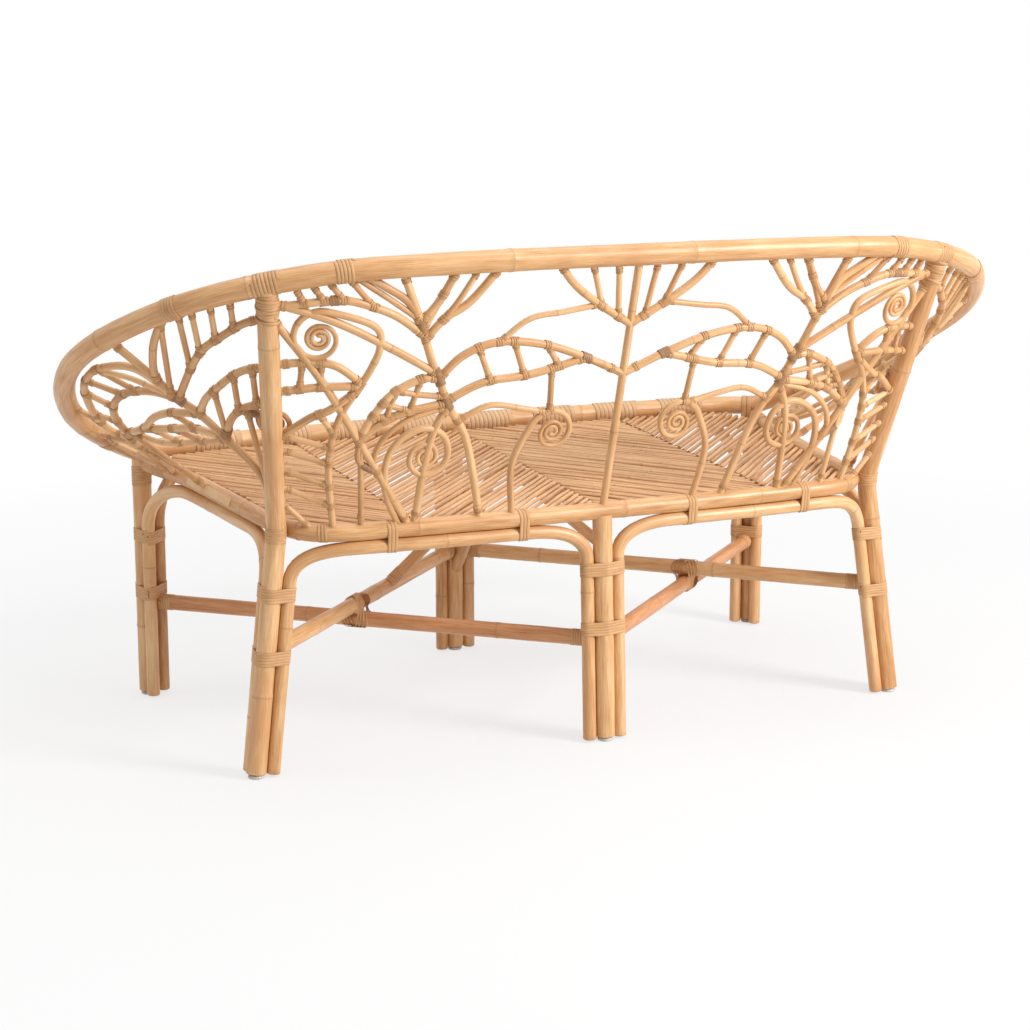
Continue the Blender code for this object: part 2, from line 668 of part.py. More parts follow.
# Stems that end in a scroll: the stem's points, then the scroll
SIDE_SCROLLS = (
    (((0.44, 0.0), (0.455, 0.22), (0.39, 0.46), (0.28, 0.66), (0.175, 0.78), (0.11, 0.62), (0.115, 0.38)),
     (0.225, 0.34, 0.031, 2.0, 0.010, 215, 1)),
    (((0.905, 0.515), (0.90, 0.46)), (0.94, 0.40, 0.026, 1.6, 0.009, 170, 1)),
)
BACK_STEMS = (
    ((1.34, 1.0), (1.39, 0.81), (1.43, 0.64), (1.45, 0.58), (1.48, 0.47), (1.54, 0.33), (1.60, 0.0)),
    ((PAST_POST, 0.93), (1.16, 0.825), (1.30, 0.715), (1.45, 0.60)),
    ((PAST_POST, 0.89), (1.13, 0.60), (1.25, 0.30), (1.38, 0.0)),
    ((PAST_POST, 0.905), (1.13, 0.90), (1.19, 0.895), (1.25, 0.87), (1.33, 0.82), (1.41, 0.745)),
    ((PAST_POST, 0.685), (1.09, 0.68), (1.16, 0.66), (1.21, 0.61), (1.24, 0.57)),
    ((PAST_POST, 0.58), (1.12, 0.58), (1.18, 0.575), (1.235, 0.565)),
    ((1.22, 1.0), (1.30, 0.93), (1.36, 0.87), (1.405, 0.79)),
    ((1.39, 0.79), (1.44, 0.86), (1.50, 1.0)),
    ((1.41, 0.73), (1.46, 0.80), (1.53, 0.86), (1.62, 1.0)),
    ((1.45, 0.58), (1.40, 0.58), (1.33, 0.54), (1.29, 0.49), (1.25, 0.42), (1.235, 0.36)),
    ((1.475, 0.48), (1.37, 0.46), (1.30, 0.43), (1.235, 0.36)),
    ((1.48, 0.47), (1.43, 0.33), (1.39, 0.0)),
    ((PAST_POST, 0.38), (1.09, 0.46), (1.15, 0.49), (1.22, 0.55)),
    ((1.45, 0.58), (1.52, 0.66), (1.62, 0.70), (1.75, 0.68), (1.88, 0.62), (2.0, 0.55)),
    ((1.475, 0.49), (1.58, 0.55), (1.72, 0.57), (1.88, 0.62)),
    ((2.0, 0.74), (1.90, 0.82), (1.82, 0.90), (1.76, 1.0)),
)
MIDDLE_STEM = ((2.0, 1.0), (2.0, 0.74), (2.0, 0.45), (2.0, 0.0))
BACK_RUNGS = (
    ((1.06, 1.0), (1.09, 0.90)), ((1.10, 1.0), (1.14, 0.895)), ((1.14, 1.0), (1.19, 0.89)),
    ((1.19, 1.0), (1.27, 0.86)), ((1.08, 0.68), (1.07, 0.58)), ((1.13, 0.67), (1.125, 0.58)),
    ((1.40, 0.58), (1.37, 0.46)), ((1.33, 0.54), (1.30, 0.43)), ((1.235, 0.36), (1.23, 0.0)),
    ((1.12, 0.475), (1.145, 0.40)), ((1.56, 0.68), (1.60, 0.55)), ((1.66, 0.70), (1.70, 0.57)),
    ((1.76, 0.68), (1.80, 0.59)), ((1.78, 0.58), (1.785, 0.44)), ((1.86, 1.0), (1.905, 0.81)),
    ((1.94, 1.0), (1.96, 0.77)),
)
BACK_SCROLLS = (
    (((1.15, 0.0), (1.14, 0.21), (1.15, 0.36), (1.18, 0.47), (1.22, 0.55), (1.26, 0.63), (1.285, 0.71),
      (1.27, 0.79)), (1.125, 0.765, 0.044, 2.1, 0.010, 70, 1)),
    (((1.33, 0.0), (1.322, 0.14)), (1.385, 0.25, 0.027, 1.7, 0.009, 175, -1)),
    (((1.70, 0.0), (1.685, 0.22)), (1.80, 0.34, 0.040, 2.2, 0.010, 165, -1)),
)


def on_border(point):
    u, v = point
    return v in (0.0, 1.0) or u in (AT_POST, PAST_POST, 2.0)


def wickerwork(name, stems, rungs, scrolls, hands, middle, neighbours):
    tubes, laid = [], []

    def snapped(p, point):
        """A pole's end, moved onto the nearest pole laid before it."""
        if not laid or on_border(point):
            return p
        best = min(laid, key=lambda q: np.min(np.linalg.norm(q - p, axis=1)))
        return best[np.argmin(np.linalg.norm(best - p, axis=1))]

    def lay(points, curve, diameter, label):
        laid.append(evenly(curve, 160))
        tubes.append(tube(label, points, diameter, STEM_SIDES))

    for side in hands:
        laid.clear()
        if middle:
            laid.append(evenly(np.array([place(*p) for p in middle]), 200))
        for points, shape in scrolls:
            curl = flip(scroll(*shape), side)
            stem = spline([flip(place(*q), side) for q in points] + [curl[0], curl[1]], per=8)[:-8]
            stem = evenly(stem, int(lengths(stem)[-1] / STEM_STEP) + 2)
            path = np.vstack([stem[:-1], curl])
            least = self_gap(curl, SCROLL_D) * 1000
            print(name, "scroll: least gap between turns", round(least, 2), "mm")
            lay(path, path, SCROLL_D, "scroll")
        for points in stems:
            p = [flip(place(*q), side) for q in points]
            p[0] = snapped(p[0], points[0])
            p[-1] = snapped(p[-1], points[-1])
            curve = spline(p, per=8)
            lay(evenly(curve, int(lengths(curve)[-1] / STEM_STEP) + 3), curve, STEM_D, "stem")
        for a, b in rungs:
            p, q = (snapped(flip(place(*e), side), e) for e in (a, b))
            tubes.append(tube("rung", straight(p, q), RUNG_D, RUNG_SIDES))
    if middle:
        tubes.append(tube("stem", np.array([place(*p) for p in middle]), STEM_D, STEM_SIDES))
    body = tubes.pop()
    fuse(body, tubes)
    body.name = name
    body.data.name = name
    paint(body, name, HONEY, 0.45)
    cope(body, *neighbours)


left_post, right_post = LEGS["back_left"]["pole"], LEGS["back_right"]["pole"]
wickerwork("wicker_left", SIDE_STEMS, SIDE_RUNGS, SIDE_SCROLLS, (1,), None,
           (hoop, seat_rail, left_post))
wickerwork("wicker_right", SIDE_STEMS, SIDE_RUNGS, SIDE_SCROLLS, (-1,), None,
           (hoop, seat_rail, right_post))
wickerwork("wicker_back", BACK_STEMS, BACK_RUNGS, BACK_SCROLLS, (1, -1), MIDDLE_STEM,
           (hoop, seat_rail, left_post, right_post))

for obj in bpy.data.objects:
    smooth(obj)
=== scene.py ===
"""Looks of the rattan sofa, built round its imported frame.  Metres, +Z up, the front faces -Y."""

import bpy
import numpy as np
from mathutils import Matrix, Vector


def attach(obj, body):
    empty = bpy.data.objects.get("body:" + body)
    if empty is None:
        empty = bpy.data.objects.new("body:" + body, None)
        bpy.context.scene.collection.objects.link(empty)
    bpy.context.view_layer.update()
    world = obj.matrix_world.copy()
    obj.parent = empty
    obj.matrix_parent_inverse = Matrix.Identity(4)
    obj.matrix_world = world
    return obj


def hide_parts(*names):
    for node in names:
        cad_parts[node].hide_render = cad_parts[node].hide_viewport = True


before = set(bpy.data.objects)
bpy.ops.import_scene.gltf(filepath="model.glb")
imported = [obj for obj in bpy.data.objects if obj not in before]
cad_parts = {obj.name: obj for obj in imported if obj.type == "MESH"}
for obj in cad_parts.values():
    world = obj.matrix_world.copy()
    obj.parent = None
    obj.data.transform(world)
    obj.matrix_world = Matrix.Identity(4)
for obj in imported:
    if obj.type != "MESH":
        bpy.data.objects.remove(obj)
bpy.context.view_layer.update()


# Hoop
# One thick rattan pole, steamed and bent round pins into a tilted ring: arms and back in one sweep.
# It is sanded and lacquered to a satin honey, and the joints of the cane are left showing.

HOOP_THICK = 0.034
HOOP_SIDES = 28
HOOP_JOINTS = (0.26, 0.42)   # least and greatest distance between two joints of the cane
HOOP_STEP = 0.010            # distance between two rings of points along the pole
HOOP_POINTS = 160
HOOP_GLOSS = 0.36
FRONT_HALF = 0.605
FRONT_LEG_Y = -0.315
FRONT_BULGE = 0.050
HOOP_HALF = 0.805
HOOP_BACK_Y = 0.367
CORNER_Z = 0.430
HOOP_RISE = 0.372
HOOP_EASE = 0.11
BUTT_AHEAD = 0.010
FIT_GAP = 0.0003             # clearance where two pieces meet
HOOP_PINS = ((0.94, 0.24), (1.0, 0.55), (0.875, 0.815), (0.65, 0.96), (0.40, 0.995))
FRONT_PINS = ((0.80, 0.70), (0.45, 0.93))
PIN_STEPS = 24               # points of the ring from one bending pin to the next
HONEY_PALE = (0.86, 0.58, 0.31)
HONEY = (0.70, 0.385, 0.162)
HONEY_DEEP = (0.48, 0.22, 0.073)
RUDDY = (0.60, 0.265, 0.095)
JOINT_BROWN = (0.30, 0.145, 0.055)
CUT_BROWN = (0.42, 0.22, 0.09)
SEED = 7

dice = np.random.default_rng(SEED)


def bent(points, per=10, closed=False):
    """Smooth line through bending pins."""
    p = [np.array(q, float) for q in points]
    p = [p[-1]] + p + [p[0], p[1]] if closed else [2 * p[0] - p[1]] + p + [2 * p[-1] - p[-2]]
    out = []
    for a, b, c, d in zip(p, p[1:], p[2:], p[3:]):
        for t in np.linspace(0, 1, per, endpoint=False):
            out.append(0.5 * (2 * b + (c - a) * t + (2 * a - 5 * b + 4 * c - d) * t ** 2
                              + (3 * b - a - 3 * c + d) * t ** 3))
    if not closed:
        out.append(p[-2])
    return np.array(out)


def lengths(line):
    return np.concatenate([[0], np.cumsum(np.linalg.norm(np.diff(line, axis=0), axis=1))])


def along(line, distance):
    s = lengths(line)
    return np.stack([np.interp(distance, s, line[:, k]) for k in range(line.shape[1])], -1)


def nearest(line, point, steps=4000):
    fine = np.linspace(0, lengths(line)[-1], steps)
    return fine[np.argmin(np.linalg.norm(along(line, fine) - np.array(point), axis=1))]


def unit(v):
    v = np.array(v, float)
    return v / np.linalg.norm(v)


def mirrored(line, side):
    return np.array(line, float) * (side, 1, 1)


JOINT_RINGS = (-0.007, -0.0035, -0.0014, 0.0, 0.0014, 0.0035, 0.007)    # rings of points about a joint
JOINT_SWELL = 0.040
JOINT_SWELL_LONG = 0.0045
JOINT_MARK_LONG = 0.0012
FIRST_JOINT = 0.25           # the first joint comes after this share of the greatest distance, or more
LAST_JOINT = 0.02            # and the last one this far from the end, or more
END_ROUND = 0.0014
END_CHAMFER = 0.88
FLARE_RINGS = (0.006, 0.012)
FLARE_LONG = 0.009
RINGS_APART = 0.0007
GIRTH_WAVES = ((0.010, 21, 1), (0.006, 57, 2))    # height, how often along the pole, share of the phase
ANY_TURN = 6.28
ANY_GRAIN = 40               # the grain of a pole starts anywhere along this many metres


def cane(line, thick, joints, step=0.012, flare=0.0, closed=False, pared=None):
    """One pole: its points, with girth, distance along, tint, joint rings and cut ends at each.
    pared gives the distance from which it is pared down, the length of that and the share left."""
    line = np.array(line, float)
    if closed:
        line = np.vstack([line, line[:1]])
    total = lengths(line)[-1]
    rings = []
    at = dice.uniform(FIRST_JOINT, 1.0) * joints[1]
    while at < total - LAST_JOINT:
        rings.append(at)
        at += dice.uniform(*joints)
    stops = list(np.linspace(0, total, max(3, int(total / step) + 1)))
    stops += [ring + d for ring in rings for d in JOINT_RINGS]
    if not closed:
        stops += [END_ROUND, total - END_ROUND]
    if flare:
        stops += [end for d in FLARE_RINGS for end in (d, total - d)]
    kept = [0.0]
    for stop in sorted(stops):
        if stop - kept[-1] > RINGS_APART and stop < total - RINGS_APART:
            kept.append(stop)
    if not closed:
        kept.append(total)
    s = np.array(kept)
    phase = dice.uniform(0, ANY_TURN)
    waves = [high * np.sin(s * often + share * phase) for high, often, share in GIRTH_WAVES]
    girth = thick / 2 * (1 + sum(waves))
    mark = np.zeros(len(s))
    for ring in rings:
        girth *= 1 + JOINT_SWELL * np.exp(-((s - ring) / JOINT_SWELL_LONG) ** 2)
        mark = np.maximum(mark, np.exp(-((s - ring) / JOINT_MARK_LONG) ** 2))
    if pared:
        start, long, left = pared
        girth *= 1 - (1 - left) * np.clip((s - start) / long, 0, 1)
    cut = np.zeros(len(s))
    if not closed:
        near_end = np.minimum(s, total - s)
        girth *= 1 + flare * np.exp(-(near_end / FLARE_LONG) ** 2)
        girth[[0, -1]] *= END_CHAMFER
        cut[[0, -1]] = 1.0
    return dict(points=along(line, s), girth=girth, run=s + dice.uniform(0, ANY_GRAIN), joint=mark, cut=cut,
                tint=np.full(len(s), dice.uniform(0, 1)), closed=closed)


def run_mesh(name, runs, scalars, vectors=()):
    """Polylines with their attributes in one mesh, for a node tree to work on."""
    points, edges, first = [], [], 0
    for run in runs:
        n = len(run["points"])
        points.append(run["points"])
        edges += [(first + i, first + i + 1) for i in range(n - 1)]
        if run.get("closed"):
            edges.append((first + n - 1, first))
        first += n
    mesh = bpy.data.meshes.new(name)
    mesh.from_pydata(np.vstack(points).tolist(), edges, [])
    for key in scalars:
        values = np.concatenate([run[key] for run in runs]).astype(np.float32)
        mesh.attributes.new(key, "FLOAT", "POINT").data.foreach_set("value", values)
    for key in vectors:
        values = np.vstack([run[key] for run in runs]).astype(np.float32)
        mesh.attributes.new(key, "FLOAT_VECTOR", "POINT").data.foreach_set("vector", values.ravel())
    return mesh


def named_tree(name, inputs):
    tree = bpy.data.node_groups.new(name, "GeometryNodeTree")
    tree.interface.new_socket("Runs", in_out="INPUT", socket_type="NodeSocketGeometry")
    for label, kind in inputs:
        tree.interface.new_socket(label, in_out="INPUT", socket_type=kind)
    tree.interface.new_socket("Made", in_out="OUTPUT", socket_type="NodeSocketGeometry")
    return tree, tree.nodes.new("NodeGroupInput"), tree.nodes.new("NodeGroupOutput")


def read_attribute(tree, name, kind):
    node = tree.nodes.new("GeometryNodeInputNamedAttribute")
    node.data_type = kind
    node.inputs["Name"].default_value = name
    return node.outputs["Attribute"]


def wire(tree, *pairs):
    for source, target in pairs:
        tree.links.new(source, target)


def round_section(tree, sides):
    """Circle of radius one whose points keep their place round the pole as the attribute side."""
    circle = tree.nodes.new("GeometryNodeCurvePrimitiveCircle")
    circle.inputs["Radius"].default_value = 1.0
    keep = tree.nodes.new("GeometryNodeStoreNamedAttribute")
    keep.data_type = "FLOAT_VECTOR"
    keep.domain = "POINT"
    keep.inputs["Name"].default_value = "side"
    place = tree.nodes.new("GeometryNodeInputPosition")
    wire(tree, (sides, circle.inputs["Resolution"]), (circle.outputs["Curve"], keep.inputs["Geometry"]),
         (place.outputs["Position"], keep.inputs["Value"]))
    return keep.outputs["Geometry"]


def close_tree(tree, geometry, finish, out):
    whole = tree.nodes.new("GeometryNodeRealizeInstances")
    paint = tree.nodes.new("GeometryNodeSetMaterial")
    wire(tree, (geometry, whole.inputs["Geometry"]), (whole.outputs["Geometry"], paint.inputs["Geometry"]),
         (finish, paint.inputs["Material"]), (paint.outputs["Geometry"], out.inputs["Made"]))


pole_tree, pole_in, pole_out = named_tree(
    "bent_poles", (("Sides", "NodeSocketInt"), ("Finish", "NodeSocketMaterial")))
pole_line = pole_tree.nodes.new("GeometryNodeMeshToCurve")
pole_skin = pole_tree.nodes.new("GeometryNodeCurveToMesh")
pole_skin.inputs["Fill Caps"].default_value = True
wire(pole_tree,
     (pole_in.outputs["Runs"], pole_line.inputs["Mesh"]),
     (pole_line.outputs["Curve"], pole_skin.inputs["Curve"]),
     (round_section(pole_tree, pole_in.outputs["Sides"]), pole_skin.inputs["Profile Curve"]),
     (read_attribute(pole_tree, "girth", "FLOAT"), pole_skin.inputs["Scale"]))
close_tree(pole_tree, pole_skin.outputs["Mesh"], pole_in.outputs["Finish"], pole_out)

SHARP_EDGE = 0.9             # radians; flatter edges are smoothed


def make_piece(name, mesh, tree, slot, stands_for, **inputs):
    """Runs a node tree, keeps the result as a plain mesh and hangs it on the frame."""
    piece = bpy.data.objects.new(name, mesh)
    bpy.context.scene.collection.objects.link(piece)
    work = piece.modifiers.new("make", "NODES")
    work.node_group = tree
    sockets = {s.name: s.identifier for s in tree.interface.items_tree if s.in_out == "INPUT"}
    for label, value in inputs.items():
        work[sockets[label]] = value
    graph = bpy.context.evaluated_depsgraph_get()
    made = bpy.data.meshes.new_from_object(piece.evaluated_get(graph), preserve_all_data_layers=True,
                                           depsgraph=graph)
    piece.modifiers.clear()
    piece.data = made
    made.name = name
    made.shade_smooth()
    made.set_sharp_from_angle(angle=SHARP_EDGE)
    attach(piece, "root")
    if stands_for:
        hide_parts(*stands_for)
    return piece


CANE_VALUES = ("girth", "run", "joint", "cut", "tint")


def make_poles(name, runs, sides, finish, slot, stands_for=()):
    mesh = run_mesh(name, runs, CANE_VALUES)
    return make_piece(name, mesh, pole_tree, slot, stands_for, Sides=sides, Finish=finish)


class Finish:
    """A material under construction: short ways to add and join its nodes."""

    MIX_SHARE, MIX_A, MIX_B, MIX_OUT = 0, 6, 7, 2    # the Mix node's sockets for colours

    def __init__(self, name):
        self.material = bpy.data.materials.new(name)
        self.material.use_nodes = True
        self.nodes = self.material.node_tree.nodes
        self.links = self.material.node_tree.links
        self.shader = self.nodes["Principled BSDF"]

    def put(self, value, socket):
        if hasattr(value, "is_output"):
            self.links.new(value, socket)
        else:
            socket.default_value = value

    def attribute(self, name, vector=False):
        node = self.nodes.new("ShaderNodeAttribute")
        node.attribute_name = name
        return node.outputs["Vector" if vector else "Fac"]

    def math(self, kind, a, b=0.0, clamp=False):
        node = self.nodes.new("ShaderNodeMath")
        node.operation = kind
        node.use_clamp = clamp
        self.put(a, node.inputs[0])
        self.put(b, node.inputs[1])
        return node.outputs["Value"]

    def times(self, a, b):
        return self.math("MULTIPLY", a, b)

    def total(self, *parts):
        """Sum of values, each by its share."""
        value = self.times(*parts[0])
        for part in parts[1:]:
            value = self.math("ADD", value, self.times(*part))
        return value

    def split(self, vector):
        node = self.nodes.new("ShaderNodeSeparateXYZ")
        self.links.new(vector, node.inputs["Vector"])
        return node.outputs

    def join(self, x, y, z):
        node = self.nodes.new("ShaderNodeCombineXYZ")
        for value, socket in zip((x, y, z), node.inputs):
            self.put(value, socket)
        return node.outputs["Vector"]

    def noise(self, vector, scale, detail=3.0, rough=0.55):
        node = self.nodes.new("ShaderNodeTexNoise")
        self.links.new(vector, node.inputs["Vector"])
        node.inputs["Scale"].default_value = scale
        node.inputs["Detail"].default_value = detail
        node.inputs["Roughness"].default_value = rough
        return node.outputs["Fac"]

    def spread(self, value, low, high, to_low=0.0, to_high=1.0):
        node = self.nodes.new("ShaderNodeMapRange")
        self.links.new(value, node.inputs["Value"])
        for label, number in (("From Min", low), ("From Max", high), ("To Min", to_low), ("To Max", to_high)):
            node.inputs[label].default_value = number
        return node.outputs["Result"]

    def ramp(self, value, stops):
        node = self.nodes.new("ShaderNodeValToRGB")
        steps = node.color_ramp.elements
        while len(steps) < len(stops):
            steps.new(0.5)
        for step, (at, colour) in zip(steps, stops):
            step.position = at
            step.color = (*colour, 1)
        self.links.new(value, node.inputs["Fac"])
        return node.outputs["Color"]

    def mix(self, share, a, b):
        node = self.nodes.new("ShaderNodeMix")
        node.data_type = "RGBA"
        self.put(share, node.inputs[self.MIX_SHARE])
        for colour, socket in ((a, self.MIX_A), (b, self.MIX_B)):
            self.put(colour if hasattr(colour, "is_output") else (*colour, 1), node.inputs[socket])
        return node.outputs[self.MIX_OUT]

    def bump(self, height, strength, distance):
        node = self.nodes.new("ShaderNodeBump")
        node.inputs["Strength"].default_value = strength
        node.inputs["Distance"].default_value = distance
        self.links.new(height, node.inputs["Height"])
        self.links.new(node.outputs["Normal"], self.shader.inputs["Normal"])

    def coat(self, colour, rough):
        self.links.new(colour, self.shader.inputs["Base Color"])
        self.links.new(rough, self.shader.inputs["Roughness"])


STREAKS = (0.022, 1150.0, 4.0, 0.62)    # stretch along the pole, scale, detail and roughness
BANDS = (0.10, 120.0, 3.0, 0.55)
FLECKS = (0.16, 520.0, 2.0, 0.7)
TONE = (9.0, 4.5, 2.0)       # how far the tint moves a pole in the noise, scale and detail
BLUSH = (17.0, 7.0, 2.0)
STREAK_SHARE, BAND_SHARE, TONE_SHARE, TINT_SHARE = 0.62, 0.44, 0.24, 0.17
DEEP_AT, MIDDLE_AT, PALE_AT = 0.54, 0.72, 0.92
BLUSHED = (0.48, 0.78, 0.0, 0.60)       # from noise to the share of the ruddy tone
FLECKED = (0.66, 0.80, 0.0, 0.55)
JOINT_DARK, CUT_DARK = 0.45, 0.80
NOISE_LOW, NOISE_HIGH = 0.3, 0.7        # most of a noise's values lie between these
DULLER, SHINIER, JOINT_DULL = 0.10, 0.04, 0.2
LACQUER, LACQUER_ROUGH = 0.12, 0.28
BAND_RELIEF, JOINT_RELIEF = 0.5, 1.2
CANE_BUMP = (0.30, 0.0005)   # strength and depth


def cane_finish(name, pale, middle, deep, gloss):
    """Lacquered rattan: streaks along the pole, broad tone, flecks, dark joint rings and cut ends."""
    f = Finish(name)
    girth, run, joint, cut, tint = (f.attribute(key) for key in CANE_VALUES)
    side = f.split(f.attribute("side", vector=True))
    x, y = f.times(side[0], girth), f.times(side[1], girth)
    streaks, bands, flecks = (f.noise(f.join(x, y, f.times(run, stretch)), *grain)
                              for stretch, *grain in (STREAKS, BANDS, FLECKS))
    tone = f.noise(f.join(f.times(tint, TONE[0]), 0.0, run), *TONE[1:])
    blush = f.noise(f.join(run, f.times(tint, BLUSH[0]), 0.0), *BLUSH[1:])
    level = f.total((streaks, STREAK_SHARE), (bands, BAND_SHARE), (tone, TONE_SHARE), (tint, TINT_SHARE))
    colour = f.ramp(level, ((DEEP_AT, deep), (MIDDLE_AT, middle), (PALE_AT, pale)))
    colour = f.mix(f.spread(blush, *BLUSHED), colour, RUDDY)
    colour = f.mix(f.spread(flecks, *FLECKED), colour, deep)
    colour = f.mix(f.times(joint, JOINT_DARK), colour, JOINT_BROWN)
    colour = f.mix(f.times(cut, CUT_DARK), colour, CUT_BROWN)
    worn = f.spread(streaks, NOISE_LOW, NOISE_HIGH, gloss + DULLER, gloss - SHINIER)
    f.coat(colour, f.math("ADD", worn, f.times(joint, JOINT_DULL), clamp=True))
    f.shader.inputs["Coat Weight"].default_value = LACQUER
    f.shader.inputs["Coat Roughness"].default_value = LACQUER_ROUGH
    relief = f.math("ADD", streaks, f.times(bands, BAND_RELIEF))
    f.bump(f.math("SUBTRACT", relief, f.times(joint, JOINT_RELIEF)), *CANE_BUMP)
    return f.material


honey_cane = cane_finish("honey_cane", HONEY_PALE, HONEY, HONEY_DEEP, HOOP_GLOSS)


def hoop_height(y):
    share = max(0.0, (y - FRONT_LEG_Y) / (HOOP_BACK_Y - FRONT_LEG_Y))
    return CORNER_Z + HOOP_RISE * ((1 + HOOP_EASE) * share - HOOP_EASE * share * share)


half = [(0.0, HOOP_BACK_Y)]
half += [(a * HOOP_HALF, FRONT_LEG_Y + b * (HOOP_BACK_Y - FRONT_LEG_Y)) for a, b in reversed(HOOP_PINS)]
half += [(FRONT_HALF, FRONT_LEG_Y)]
half += [(a * FRONT_HALF, FRONT_LEG_Y - b * FRONT_BULGE) for a, b in FRONT_PINS]
half += [(0.0, FRONT_LEG_Y - FRONT_BULGE)]
ring = bent(half + [(-x, y) for x, y in half[-2:0:-1]], per=PIN_STEPS, closed=True)
ring = np.vstack([ring, ring[:1]])
ring = np.column_stack([ring, [hoop_height(y) for y in ring[:, 1]]])
ring_length = lengths(ring)[-1]
corner_at = nearest(ring, (FRONT_HALF, FRONT_LEG_Y, CORNER_Z))
joint_at = corner_at + BUTT_AHEAD
back_out = along(ring, np.linspace(0, joint_at - FIT_GAP / 2, HOOP_POINTS))
hoop_line = np.vstack([mirrored(back_out[:0:-1], -1), back_out])
make_poles("hoop_pole", [cane(hoop_line, HOOP_THICK, HOOP_JOINTS, HOOP_STEP)], HOOP_SIDES, honey_cane,
           "rattan", ["hoop"])


# Front rail
# A pole of the same thickness closes the ring in front, butted to the hoop over the corner legs.
# Peel is wound round it in broad bands, with bare cane between, to soften the seat's front edge.

RAIL_PEEL = (0.78, 0.52, 0.30)
RAIL_PEEL_DEEP = (0.58, 0.34, 0.165)
# Painted shade: the dark brown laid along the edges of every peel strip, as in the grooves between turns.
GROOVE_SHADE_BROWN = (0.20, 0.095, 0.038)
RAIL_PEEL_WIDE = 0.0085
RAIL_BAND_LONG = 0.085
RAIL_BANDS = 8
RAIL_BARE = 0.100            # from the butt joint to the first band
FRONT_POINTS = 120
WRAP_STEPS = 26              # points of a strip in one turn round a thick pole

front_start = joint_at + FIT_GAP / 2
front_line = along(ring, np.linspace(front_start, ring_length - front_start, FRONT_POINTS))
make_poles("front_rail_pole", [cane(front_line, HOOP_THICK, HOOP_JOINTS, HOOP_STEP)], HOOP_SIDES, honey_cane,
           "rattan", ["front_rail"])

peel_tree, peel_in, peel_out = named_tree(
    "wound_peel", (("Sides", "NodeSocketInt"), ("Section", "NodeSocketVector"),
                   ("Finish", "NodeSocketMaterial")))
peel_line = peel_tree.nodes.new("GeometryNodeMeshToCurve")
peel_face = peel_tree.nodes.new("GeometryNodeSetCurveNormal")
peel_face.mode = "FREE"
peel_flat = peel_tree.nodes.new("GeometryNodeTransform")
peel_skin = peel_tree.nodes.new("GeometryNodeCurveToMesh")
peel_skin.inputs["Fill Caps"].default_value = True
wire(peel_tree,
     (peel_in.outputs["Runs"], peel_line.inputs["Mesh"]),
     (peel_line.outputs["Curve"], peel_face.inputs["Curve"]),
     (read_attribute(peel_tree, "out", "FLOAT_VECTOR"), peel_face.inputs["Normal"]),
     (round_section(peel_tree, peel_in.outputs["Sides"]), peel_flat.inputs["Geometry"]),
     (peel_in.outputs["Section"], peel_flat.inputs["Scale"]),
     (peel_face.outputs["Curve"], peel_skin.inputs["Curve"]),
     (peel_flat.outputs["Geometry"], peel_skin.inputs["Profile Curve"]),
     (read_attribute(peel_tree, "half_wide", "FLOAT"), peel_skin.inputs["Scale"]))
close_tree(peel_tree, peel_skin.outputs["Mesh"], peel_in.outputs["Finish"], peel_out)

PEEL_FLATNESS = 0.26         # thickness of a peel strip as a share of its width
PEEL_LAY = 1.03              # from one turn to the next, as a share of the width
PEEL_STANDS = 0.36           # how far its middle stands off the pole, as a share of its thickness
AXIS_REACH = 0.002           # a pole's direction is taken over this far ahead and behind
STEEP = 0.8
middle_pole = np.zeros(3)


def alone(thick):
    """The bundle of a single pole: its offset and radius."""
    return [(middle_pole, thick / 2)]


def strip(points, out, wide):
    """A peel strip along points, lying flat against what is under it."""
    points = np.array(points, float)
    run = lengths(points) + dice.uniform(0, ANY_GRAIN)
    return dict(points=points, out=np.array(out, float), half_wide=np.full(len(points), wide / 2), run=run,
                tint=np.full(len(points), dice.uniform(0, 1)))


def wind(line, start, end, bundle, wide, per_turn, pitch=None, way=1):
    """A strip wound in one unbroken spiral round poles side by side (offset and radius of each)."""
    turns = max(1, round((end - start) / (pitch or wide * PEEL_LAY)))
    rows = np.linspace(start, end, turns * per_turn + 1)
    centre = along(line, rows)
    ahead = along(line, np.minimum(rows + AXIS_REACH, lengths(line)[-1]))
    behind = along(line, np.maximum(rows - AXIS_REACH, 0.0))
    axis = (ahead - behind) / np.linalg.norm(ahead - behind, axis=1)[:, None]
    steep = abs(axis[len(axis) // 2][2]) >= STEEP
    reference = np.array((1.0, 0, 0)) if steep else np.array((0.0, 0, 1))
    first = dice.uniform(0, ANY_TURN)
    points, out = [], []
    for c, t, share in zip(centre, axis, np.linspace(0, 1, len(rows))):
        e1 = unit(reference - t * np.dot(reference, t))
        e2 = np.cross(t, e1)
        a = first + way * 2 * np.pi * turns * share
        face = np.cos(a) * e1 + np.sin(a) * e2
        offset, radius = max(bundle, key=lambda pole: np.dot(pole[0], face) + pole[1])
        points.append(c + offset + face * (radius + wide * PEEL_FLATNESS * PEEL_STANDS))
        out.append(face)
    return strip(points, out, wide)


def make_peel(name, runs, finish, sides=8, stands_for=(), flatness=PEEL_FLATNESS):
    mesh = run_mesh(name, runs, ("half_wide", "run", "tint"), ("out",))
    return make_piece(name, mesh, peel_tree, "peel", stands_for, Sides=sides,
                      Section=(flatness, 1.0, 1.0), Finish=finish)


FIBRES = (3.0, 0.03, 2600.0, 3.0)       # move by the tint, stretch along the strip, scale, detail
PEEL_TONE = (7.0, 22.0, 2.0)            # move by the tint, scale, detail
FIBRE_SHARE, PEEL_TONE_SHARE = 0.60, 0.50
PEEL_DEEP_AT, PEEL_PALE_AT = 0.36, 0.72
# How dark the painted groove shade at a strip's edges goes.
GROOVE_SHADE_SHARE = 0.85
PEEL_ROUGH = (0.62, 0.46)
PEEL_BUMP = (0.35, 0.0004)   # strength and depth


